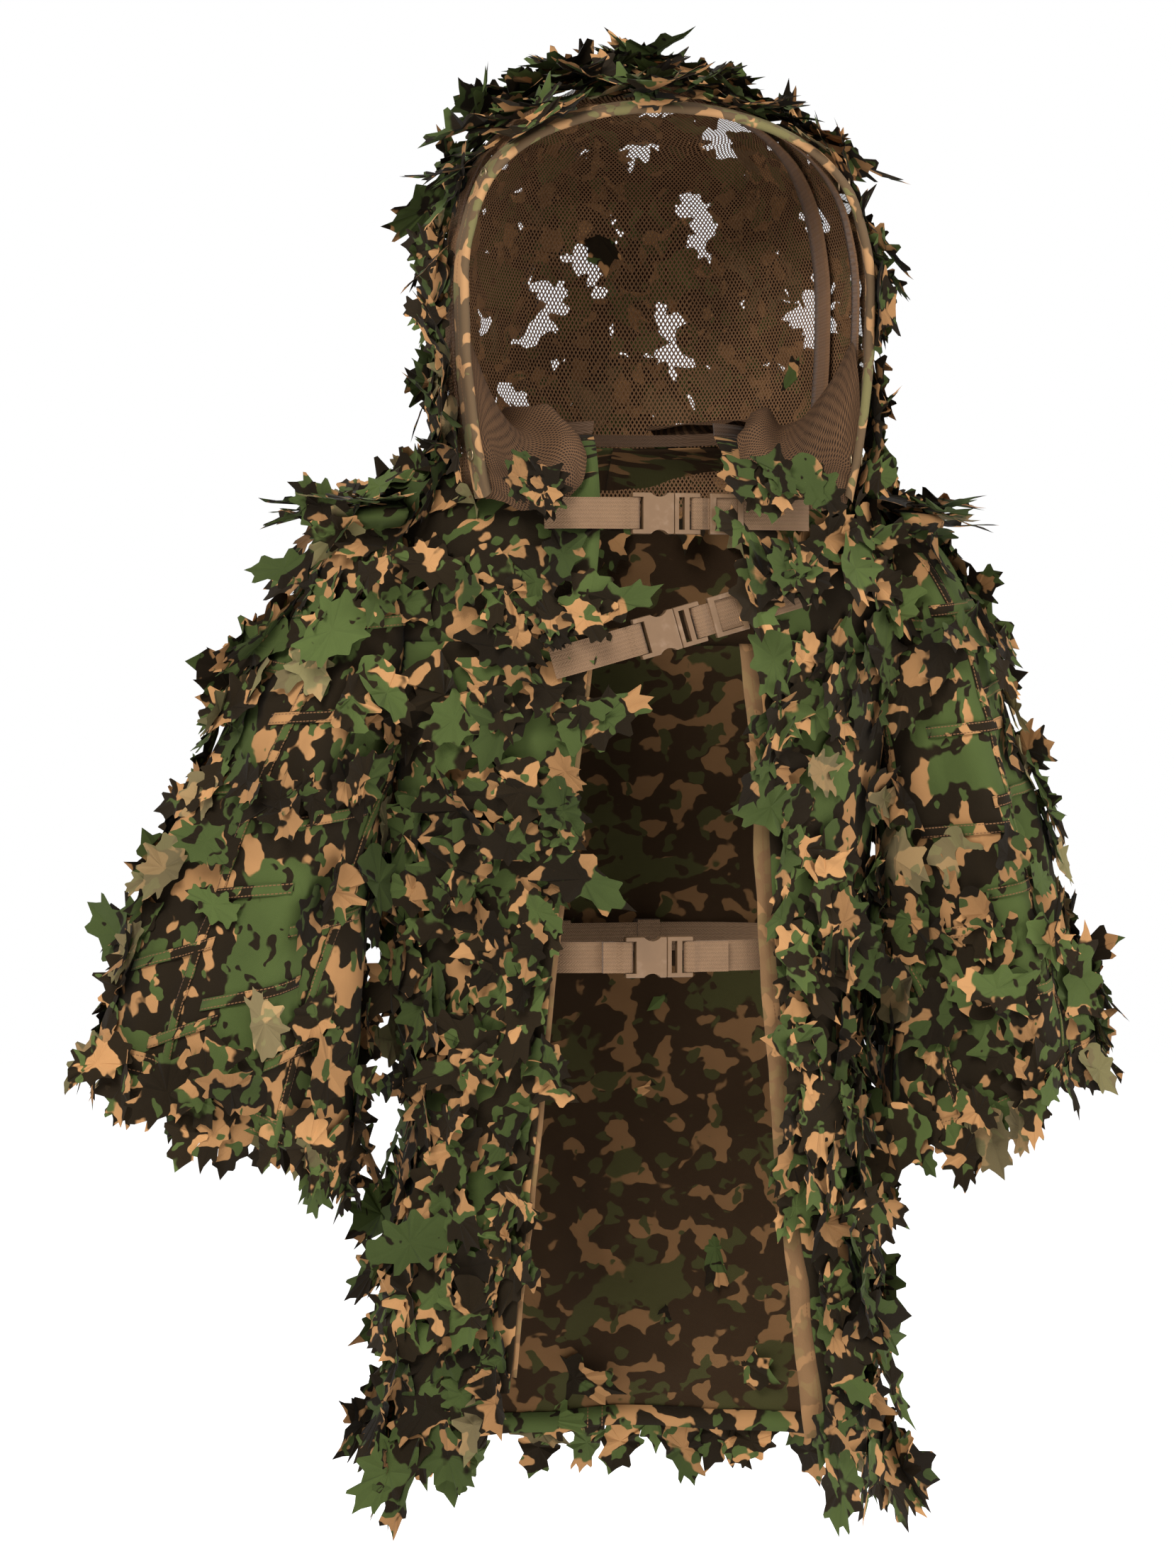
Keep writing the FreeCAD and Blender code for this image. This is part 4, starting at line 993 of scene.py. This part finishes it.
def make_eyelets():
    """Pressed metal rings through the rim."""
    bm = bmesh.new()
    for sign in SIDES.values():
        for level in EYELET_LEVELS:
            across, deep, _, middle = HOOD.at(level)
            x = across * math.sqrt(1 - ((EYELET_DEPTH - middle) / deep) ** 2)
            spot = Vector((sign * x, EYELET_DEPTH, level))
            normal = Vector((sign * x / across ** 2, (EYELET_DEPTH - middle) / deep ** 2, 0.0)).normalized()
            for face_side in (1, -1):
                profile = [bm.verts.new(corner) for corner in EYELET_PROFILE]
                edges = [bm.edges.new(pair) for pair in zip(profile, profile[1:])]
                bmesh.ops.spin(bm, geom=profile + edges, axis=(0, 0, 1), cent=(0, 0, 0), steps=24,
                               angle=2 * math.pi, use_merge=True)
                made = [vert for vert in bm.verts if not vert.tag]
                turn = normal.to_track_quat("Z", "Y").to_matrix().to_4x4()
                lift = Vector((0, 0, 0.0022)) if face_side > 0 else Vector((0, 0, -0.0052))
                flip = Matrix.Diagonal((1, 1, face_side, 1))
                bmesh.ops.transform(bm, verts=made,
                                    matrix=Matrix.Translation(spot) @ turn @ Matrix.Translation(lift) @ flip)
                for vert in made:
                    vert.tag = True
    bmesh.ops.remove_doubles(bm, verts=bm.verts, dist=1e-6)
    bmesh.ops.recalc_face_normals(bm, faces=bm.faces)
    rings = settle("hood_rim_eyelets", bm, [stock["metal"]], None, 0.0005)
    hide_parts("hood_eyelets")
    place_on(rings, "hood", HOOD_BEND)


# --- leaves ------------------------------------------------------------------------------

# Half outlines, stem to tip: distance aside and ahead, as shares of a leaf's half-width and length.
OUTLINES = [
    [(0.06, 0.0), (0.30, 0.04), (0.66, 0.0), (0.58, 0.13), (0.66, 0.23), (1.05, 0.24), (0.80, 0.36),
     (0.74, 0.47),
     (1.0, 0.60), (0.62, 0.63), (0.48, 0.73), (0.62, 0.92), (0.30, 0.85), (0.13, 0.91)],
    [(0.05, 0.0), (0.22, 0.07), (0.72, 0.07), (0.50, 0.20), (0.50, 0.29), (0.95, 0.36), (0.60, 0.46),
     (0.54, 0.56),
     (0.86, 0.69), (0.44, 0.71), (0.33, 0.80), (0.44, 0.95), (0.15, 0.92)],
    [(0.08, 0.0), (0.46, -0.03), (0.98, 0.08), (0.74, 0.22), (0.76, 0.33), (1.12, 0.45), (0.74, 0.52),
     (0.58, 0.61),
     (0.80, 0.82), (0.42, 0.78), (0.22, 0.86)],
    [(0.07, 0.04), (0.34, 0.02), (0.90, -0.05), (0.62, 0.14), (0.56, 0.27), (0.86, 0.41), (0.46, 0.48),
     (0.40, 0.60),
     (0.60, 0.80), (0.27, 0.79), (0.11, 0.89)],
    [(0.06, 0.0), (0.40, 0.06), (0.56, 0.14), (0.74, 0.30), (0.62, 0.40), (0.90, 0.52), (0.52, 0.60),
     (0.42, 0.70),
     (0.56, 0.84), (0.24, 0.86)],
]


def blunted(half, bite=0.26):
    """An outline with its outward tips cut back, as a die cuts them."""
    run = [half[0]]
    for before, tip, after in zip(half, half[1:], half[2:]):
        outward = (tip[0] - before[0]) * (after[1] - tip[1]) - (tip[1] - before[1]) * (after[0] - tip[0])
        if outward > 0:
            run += [tuple(a + (b - a) * bite for a, b in zip(tip, beside)) for beside in (before, after)]
        else:
            run.append(tip)
    return run + [half[-1]]


def leaf_shape(number, rng):
    """A lobed leaf of unit length, stem at the origin and tip along Y, bowed and with curled tips."""
    half = blunted(OUTLINES[number % len(OUTLINES)])
    lopsided = rng.uniform(0.75, 1.0)
    rim = [(aside, ahead) for aside, ahead in half] + [(rng.uniform(-0.08, 0.08), 1.0)]
    rim += [(-aside * lopsided, ahead * rng.uniform(0.94, 1.04)) for aside, ahead in reversed(half)]
    bm = bmesh.new()
    uv = bm.loops.layers.uv.get("UVMap") or bm.loops.layers.uv.new("UVMap")
    corners = bmesh.ops.create_circle(bm, cap_ends=True, segments=len(rim), radius=1.0)["verts"]
    for vert, (aside, ahead) in zip(corners, rim):
        vert.co = Vector((aside * 0.36, ahead, 0))
    bmesh.ops.inset_region(bm, faces=bm.faces[:], thickness=0.045, use_even_offset=False)
    centre = max(bm.faces, key=lambda face: len(face.verts))
    bmesh.ops.poke(bm, faces=[centre])
    bow, cup, curl = rng.uniform(-0.35, 0.45), rng.uniform(-0.8, 0.9), rng.uniform(-0.4, 1.6)
    for vert in bm.verts:
        x, y = vert.co.x, vert.co.y
        away = max(abs(x) - 0.16, 0.0)
        vert.co.z = (bow * 0.5 * y * y + cup * x * x * 1.2 + curl * away * away * 5
                     + 0.02 * math.sin(9 * y + number) + 0.05 * abs(x))
    for face in bm.faces:
        for loop in face.loops:
            loop[uv].uv = (loop.vert.co.x, loop.vert.co.y)
    bmesh.ops.recalc_face_normals(bm, faces=bm.faces)
    if sum(face.normal.z for face in bm.faces) < 0:
        bmesh.ops.reverse_faces(bm, faces=bm.faces)
    mesh = bpy.data.meshes.new("leaf_pattern_%d" % number)
    bm.to_mesh(mesh)
    bm.free()
    return mesh


def surface_frame(place, u, v, heart):
    """A point of a sheet with the outward normal there."""
    nudge = 0.004
    u, v = min(max(u, nudge), 1 - nudge), min(max(v, nudge), 1 - nudge)
    spot = place(u, v)
    normal = (place(u + nudge, v) - place(u - nudge, v)).cross(place(u, v + nudge) - place(u, v - nudge))
    if normal.length < 1e-9:
        normal = spot - heart(spot)
    normal.normalize()
    if normal.dot(spot - heart(spot)) < 0:
        normal = -normal
    return spot, normal


def room_around():
    """The corners that leaf tips stay between: the frame's box and a little beyond."""
    low, high = (Vector(corner) for corner in cad_box)
    margin = (high - low) * 0.03 + Vector((0.007, 0.007, 0.007))
    return low - margin, high + margin


def tucked(point, corners):
    """A point bent back inside the corners."""
    low, high = corners
    return Vector([min(max(spot, least), most) for spot, least, most in zip(point, low, high)])


def sew_leaves(name, spots, patterns, rng, body, bend, nodes_for=()):
    """Join a group of leaves in one piece.

    A spot is a point, normal, heading, size, lean,
    height and chance of lying face down.
    """
    bm = bmesh.new()
    tone = bm.verts.layers.float.new("tone")
    flip = bm.verts.layers.float.new("flipped")
    uv = bm.loops.layers.uv.get("UVMap") or bm.loops.layers.uv.new("UVMap")
    corners = room_around()
    for spot, normal, heading, size, lean, height, back in spots:
        flat = heading - normal * heading.dot(normal)
        if flat.length < 1e-6:
            continue
        flat.normalize()
        along = flat * math.cos(lean) + normal * math.sin(lean)
        up = normal * math.cos(lean) - flat * math.sin(lean)
        aside = along.cross(up)
        first_vert, first_face = len(bm.verts), len(bm.faces)
        bm.from_mesh(rng.choice(patterns))
        bm.verts.ensure_lookup_table()
        bm.faces.ensure_lookup_table()
        made = bm.verts[first_vert:]
        matrix = Matrix((aside, along, up)).transposed().to_4x4() @ Matrix.Diagonal((size, size, size, 1))
        matrix = Matrix.Translation(spot + normal * height) @ matrix
        bmesh.ops.transform(bm, verts=made, matrix=matrix)
        for vert in made:
            vert.co = tucked(vert.co, corners)
        shade, reverse = rng.random(), 1.0 if rng.random() < back else 0.0
        for vert in made:
            vert[tone] = shade
            vert[flip] = reverse
        turn, corner = rng.uniform(0, 2 * math.pi), (rng.uniform(0, 6), rng.uniform(0, 6))
        across, ahead = math.cos(turn) * size, math.sin(turn) * size
        for face in bm.faces[first_face:]:
            for loop in face.loops:
                x, y = loop[uv].uv
                loop[uv].uv = (corner[0] + x * across - y * ahead, corner[1] + x * ahead + y * across)
    piece = settle(name, bm, [stock["leaf"]], smooth=False)
    if nodes_for:
        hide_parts(*nodes_for)
    place_on(piece, body, bend)
    return piece


def scattered(place, heart, rng, rows, columns, size, wanted, spread=75, back=0.06,
              lean=(-2, 10), height=(0.002, 0.008), u_span=(0.0, 1.0), v_span=(0.02, 0.98)):
    """Leaves spread over a sheet in jittered rows, tips mostly downwards."""
    spots = []
    for row in range(rows):
        for column in range(columns):
            u = u_span[0] + (column + rng.uniform(0.05, 0.95)) / columns * (u_span[1] - u_span[0])
            v = v_span[0] + (row + rng.uniform(0.05, 0.95)) / rows * (v_span[1] - v_span[0])
            spot, normal = surface_frame(place, u, v, heart)
            if not wanted(spot):
                continue
            turn = Matrix.Rotation(math.radians(rng.gauss(0, spread)), 3, normal)
            scale = size * rng.uniform(0.75, 1.25)
            spots.append((spot, normal, turn @ DOWN, scale, math.radians(rng.uniform(*lean)),
                          rng.uniform(*height), back))
    return spots


def along_edge(place, heart, rng, count, path, heading, size, spread=25, back=0.3, lean=(-8, 25),
               height=(0.001, 0.006)):
    """Leaves sewn in a row along an edge of a sheet, pointing past it."""
    spots = []
    for number in range(count):
        u, v = path((number + rng.uniform(0.1, 0.9)) / count)
        spot, normal = surface_frame(place, u, v, heart)
        turn = Matrix.Rotation(math.radians(rng.gauss(0, spread)), 3, normal)
        spots.append((spot, normal, turn @ heading, size * rng.uniform(0.75, 1.25),
                      math.radians(rng.uniform(*lean)),
                      rng.uniform(*height), back))
    return spots


def off_arm(spot):
    """Clear of where an arm hangs."""
    return abs(spot.x) < 0.196 or spot.z < -0.29


def make_leaves(looks):
    """The lobed leaves, sewn at their stems."""
    rng = random.Random(17)
    patterns = [leaf_shape(number, rng) for number in range(20)]
    size = looks.leaf_length
    spots = scattered(back_place, coat_heart, rng, 20, 13, size, off_arm)
    spots += along_edge(back_place, coat_heart, rng, 17, lambda s: (s, 0.012), DOWN, size * 0.85, back=0.35)
    sew_leaves("back_leaf_cover", spots, patterns, rng, "root", None, ["back_leaves"])
    for side, sign in SIDES.items():
        front = front_place(sign)
        inward = Vector((-sign * 0.5, 0, -0.8))
        spots = scattered(front, coat_heart, rng, 21, 5, size, off_arm, u_span=(0.05, 1.0),
                          v_span=(0.01, 1.0), back=0.02)
        spots += along_edge(front, coat_heart, rng, 22, lambda s: (0.09, 0.02 + 0.96 * s), inward,
                            size * 0.72,
                            spread=34, lean=(-4, 16), back=0.02)
        spots += along_edge(front, coat_heart, rng, 5, lambda s: (s * 0.8, 0.012), DOWN, size * 0.95,
                            back=0.15)
        side_rows = 12 if sign < 0 else 6
        spots += along_edge(front, coat_heart, rng, side_rows, lambda s: (0.93, 0.02 + 0.6 * s),
                            Vector((sign * 0.3, 0, -0.9)), size * 0.8, lean=(-4, 14), back=0.1)
        sew_leaves(side + "_front_leaf_cover", spots, patterns, rng, "root", None, [side + "_front_leaves"])
        spots = scattered(yoke_place(sign), coat_heart, rng, 8, 15, size * 0.95, on_shoulders, spread=80,
                          back=0.03)
        spots += tips_up(sign, rng, size)
        spots += over_straps(sign, rng, size)
        nodes_for = ["shoulder_leaves"] if sign < 0 else []
        sew_leaves(side + "_shoulder_leaf_cover", spots, patterns, rng, "root", None, nodes_for)
        make_sleeve_leaves(side, sign, patterns, rng, size)
    make_hood_leaves(patterns, rng, size)


# Where leaves hang over the straps' sewn ends: x from and to, level and how many.
STRAP_COVERS = [(0.050, 0.118, -0.034, 7), (-0.122, -0.092, -0.036, 4), (0.072, 0.122, -0.104, 5),
                (-0.116, -0.078, -0.146, 5)]


def over_straps(sign, rng, size):
    """Leaves that hang in front of the straps' sewn ends on one side."""
    spots = []
    for start, end, level, count in STRAP_COVERS:
        if (start + end) * sign < 0:
            continue
        for number in range(count):
            x = start + (end - start) * (number + rng.uniform(0.2, 0.8)) / count
            spot = Vector((x, -0.137 - 0.0015 * (number % 3), level + rng.uniform(0.030, 0.042)))
            heading = Vector((rng.uniform(-0.5, 0.5), 0, -1))
            spots.append((spot, Vector((0, -1, 0)), heading, size * rng.uniform(0.70, 0.85),
                          math.radians(rng.uniform(28, 33)), 0.0, 0.0))
    return spots


def on_shoulders(spot):
    """Clear of the armholes, the neck and the netting that lies in front of it."""
    under_cowl = spot.y < -0.03 and spot.z > -0.050 and abs(spot.x) < 0.172
    return abs(spot.x) < 0.200 and math.hypot(spot.x / 0.150, spot.y / 0.115) > 1.0 and not under_cowl


def tips_up(sign, rng, size):
    """Leaves whose tips stand up along the slope of one shoulder."""
    spots = []
    for number in range(9 if sign < 0 else 4):
        level = rng.uniform(-0.050, -0.012)
        heading = sign * math.radians(rng.uniform(60, 125))
        spot = coat_point(heading, level)
        normal = Vector((spot.x, spot.y * 1.6, 0.12)).normalized()
        ahead = Vector((sign * rng.uniform(0.0, 1.0), rng.uniform(-0.7, 0.7), rng.uniform(0.0, 0.6)))
        spots.append((spot, normal, ahead, size * rng.uniform(0.6, 0.85), math.radians(rng.uniform(0, 28)),
                      0.003, 0.15))
    return spots


def make_sleeve_leaves(side, sign, patterns, rng, size):
    heart = sleeve_heart(sign)
    front, back = sleeve_place(sign, "front"), sleeve_place(sign, "back")

    def thinned(spot):
        """Close cover at the shoulder and hem, with plain cloth between."""
        if abs(spot.x) < 0.212:
            return False
        cover = 0.80 if spot.z > -0.17 else 0.20 if hum(spot.x * 6, spot.z * 6, 41) < 0.12 else 0.75
        return rng.random() < max(cover, ease(-0.42, -0.50, spot.z))

    lean = (-3, 10) if sign < 0 else (-8, 8)
    spots = scattered(front, heart, rng, 14, 8, size * 0.92, thinned, v_span=(0.02, 0.95), spread=80,
                      lean=lean)
    spots += scattered(back, heart, rng, 14, 10, size, lambda spot: abs(spot.x) > 0.212, v_span=(0.02, 0.95))
    outward = Vector((sign, 0, -0.75))
    highest = 0.80 if sign < 0 else 0.58
    spots += along_edge(front, heart, rng, 17, lambda s: (0.04, 0.02 + (highest - 0.02) * s), outward,
                        size * 0.72, spread=28, back=0.55,
                        lean=(-12, 8))
    for sheet, count in ((front, 14), (back, 16)):
        spots += along_edge(sheet, heart, rng, count, lambda s: (s, 0.02), Vector((sign * 0.2, 0, -1)),
                            size * 0.75,
                            spread=28, back=0.15, lean=(-6, 14))
    sew_leaves(side + "_sleeve_leaf_cover", spots, patterns, rng, side + "_sleeve", arm_bend(sign),
               [side + "_sleeve_leaves"])


def make_hood_leaves(patterns, rng, size):
    """Cover the hood's outside, with tips that stand up round the rim and the crown."""
    whole = hood_place(0.0, 1.0)

    def netted(spot):
        """Close cover behind, and gaps in the netting beside the face."""
        if spot.y < -0.118:
            return False
        return rng.random() < (1.0 if spot.y > -0.02 or spot.z > 0.25 else 0.72)

    spots = scattered(whole, hood_heart, rng, 16, 24, size, netted, spread=85, lean=(-2, 20),
                      v_span=(0.03, 0.97))
    for number in range(40):
        share = (number + 0.5) / 40
        spot = arch_point(-0.110, share)
        normal = (spot - arch_point(-0.110, share, -0.01)).normalized()
        heading = Vector((rng.uniform(-1, 1), rng.uniform(-0.1, 1.0), rng.uniform(-1, 0.6)))
        spots.append((spot, normal, heading, size * rng.uniform(0.6, 0.9), math.radians(rng.uniform(0, 34)),
                      rng.uniform(0.002, 0.008), 0.10))
    sew_leaves("hood_leaf_cover", spots, patterns, rng, "hood", HOOD_BEND, ["hood_leaves"])


# --- hardware ----------------------------------------------------------------------------

def make_hardware(_looks):
    """Finishes for the buckles, glides, webbing and belt that the frame already carries."""
    finishes = {"buckle": "plastic", "glide": "plastic", "webbing": "webbing", "belt": "webbing"}
    for name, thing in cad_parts.items():
        finish = next((made for word, made in finishes.items() if word in name), None)
        if not finish:
            continue
        if finish == "webbing" and name.startswith("lower"):
            finish = "slanted_webbing"
        thing.data.materials.clear()
        thing.data.materials.append(stock[finish])


# --- stage -------------------------------------------------------------------------------

def make_stage(looks):
    """A pale floor, soft light and the camera."""
    scene = bpy.context.scene
    bm = bmesh.new()
    bmesh.ops.create_circle(bm, cap_ends=True, segments=64, radius=9.0)
    bmesh.ops.translate(bm, verts=bm.verts, vec=(0, 0, -1.42))
    mesh = bpy.data.meshes.new("floor")
    bm.to_mesh(mesh)
    bm.free()
    floor = bpy.data.objects.new("floor", mesh)
    mesh.materials.append(floor_material())
    scene.collection.objects.link(floor)
    scene.world = scene.world or bpy.data.worlds.new("Studio")
    scene.world.use_nodes = True
    tree = scene.world.node_tree
    seen = put(tree, "ShaderNodeLightPath").outputs["Is Camera Ray"]
    glow = maths(tree, "MULTIPLY_ADD", seen, 0.45, 0.55)
    tree.nodes["Background"].inputs["Color"].default_value = (1.0, 1.0, 1.0, 1)
    tree.links.new(glow, tree.nodes["Background"].inputs["Strength"])
    scene.view_settings.view_transform = "Standard"
    lamps = {"key": ((-1.5, -2.6, 1.9), 105.0, 1.5), "fill": ((2.3, -2.0, 0.7), 48.0, 2.0),
             "back": ((0.3, 2.6, 1.6), 50.0, 1.8)}
    for name, (place, power, width) in lamps.items():
        lamp = bpy.data.lights.new(name, "AREA")
        lamp.energy = power
        lamp.size = width
        holder = bpy.data.objects.new(name, lamp)
        holder.location = place
        holder.rotation_euler = (Vector((0, 0, -0.25)) - Vector(place)).to_track_quat("-Z", "Y").to_euler()
        scene.collection.objects.link(holder)
    camera = bpy.data.cameras.new("camera")
    camera.sensor_fit = "VERTICAL"
    camera.sensor_height = 36.0
    camera.lens = 82.0
    turn, rise = math.radians(looks.camera_turn), math.radians(looks.camera_rise)
    away = Vector((math.sin(turn) * math.cos(rise), -math.cos(turn) * math.cos(rise), math.sin(rise)))
    aside = Vector((math.cos(turn), math.sin(turn), 0))
    holder = bpy.data.objects.new("camera", camera)
    target = aside * -0.039 + Vector((0, 0, -0.263))
    holder.location = target + away * 3.0
    holder.rotation_euler = away.to_track_quat("Z", "Y").to_euler()
    scene.collection.objects.link(holder)
    scene.camera = holder


# --- settings, operators and panel ---------------------------------------------------------

def colour(name, words, default):
    return bpy.props.FloatVectorProperty(name=name, description=words, default=default, size=3, min=0, max=1,
                                         subtype="COLOR")


class JacketLooks(bpy.types.PropertyGroup):
    """Sizes and colours of the jacket's looks."""

    green: colour("Green", "Ground colour of the print", (0.066, 0.090, 0.024))
    dark: colour("Dark brown", "Dark patches of the print", (0.016, 0.010, 0.004))
    tan: colour("Tan", "Light patches of the print", (0.42, 0.215, 0.085))
    reverse: colour("Leaf back", "Paler back of the leaf cloth", (0.26, 0.20, 0.095))
    thread: colour("Thread", "Sewing thread", (0.22, 0.11, 0.05))
    netting: colour("Netting", "Hood netting", (0.180, 0.090, 0.040))
    webbing: colour("Webbing", "Straps and belt", (0.20, 0.113, 0.057))
    plastic: colour("Plastic", "Buckles and glides", (0.165, 0.093, 0.045))
    net_hole: bpy.props.FloatProperty(name="Net hole", description="Width of one hole of the netting",
                                      default=0.0037,
                                      min=0.001, unit="LENGTH")
    leaf_length: bpy.props.FloatProperty(name="Leaf length", description="Mean length of a sewn leaf",
                                         default=0.072,
                                         min=0.02, unit="LENGTH")
    camera_turn: bpy.props.FloatProperty(name="Camera turn",
                                         description="Degrees round the jacket, 0 at the front",
                                         default=-12.0)
    camera_rise: bpy.props.FloatProperty(name="Camera rise", description="Degrees above level", default=1.5)


def make_finishes(looks):
    """Fill the stock of materials."""
    stock.update(build_materials(looks))


def step_operator(name, label, words, work):
    """An operator that runs one step of the dressing."""
    def execute(self, context):
        work(context.scene.jacket)
        return {"FINISHED"}
    return type("JACKET_OT_" + name, (bpy.types.Operator,),
                {"__doc__": words, "bl_idname": "jacket." + name, "bl_label": label, "execute": execute})


OPERATORS = [step_operator(*step) for step in (
    ("finishes", "Finishes", "Make the cloth, netting, webbing, plastic and metal finishes", make_finishes),
    ("coat", "Coat cloth", "Hang the back, fronts and shoulders, with their facings and hem tapes",
     make_coat),
    ("sleeves", "Sleeves", "Hang both sleeves, with their bands, seams and cuffs", make_sleeves),
    ("hood", "Hood", "Stretch the hood's netting and bind its rim", make_hood),
    ("hardware", "Buckles and webbing", "Finish the buckles, glides, webbing and belt", make_hardware),
    ("leaves", "Leaves", "Sew the leaves on", make_leaves),
    ("stage", "Stage", "Set the floor, the lights and the camera", make_stage),
)]


class JACKET_PT_panel(bpy.types.Panel):
    """The jacket's looks, step by step"""

    bl_idname = "JACKET_PT_panel"
    bl_label = "Jacket"
    bl_space_type = "VIEW_3D"
    bl_region_type = "UI"
    bl_category = "Jacket"

    def draw(self, context):
        for name in JacketLooks.__annotations__:
            self.layout.prop(context.scene.jacket, name)
        for operator in OPERATORS:
            self.layout.operator(operator.bl_idname)


def register():
    for kind in (JacketLooks, *OPERATORS, JACKET_PT_panel):
        bpy.utils.register_class(kind)
    bpy.types.Scene.jacket = bpy.props.PointerProperty(type=JacketLooks)


def unregister():
    del bpy.types.Scene.jacket
    for kind in (JACKET_PT_panel, *reversed(OPERATORS), JacketLooks):
        bpy.utils.unregister_class(kind)


def main():
    register()
    for operator in OPERATORS:
        getattr(bpy.ops.jacket, operator.bl_idname.split(".")[1])()


if __name__ == "__main__":
    main()
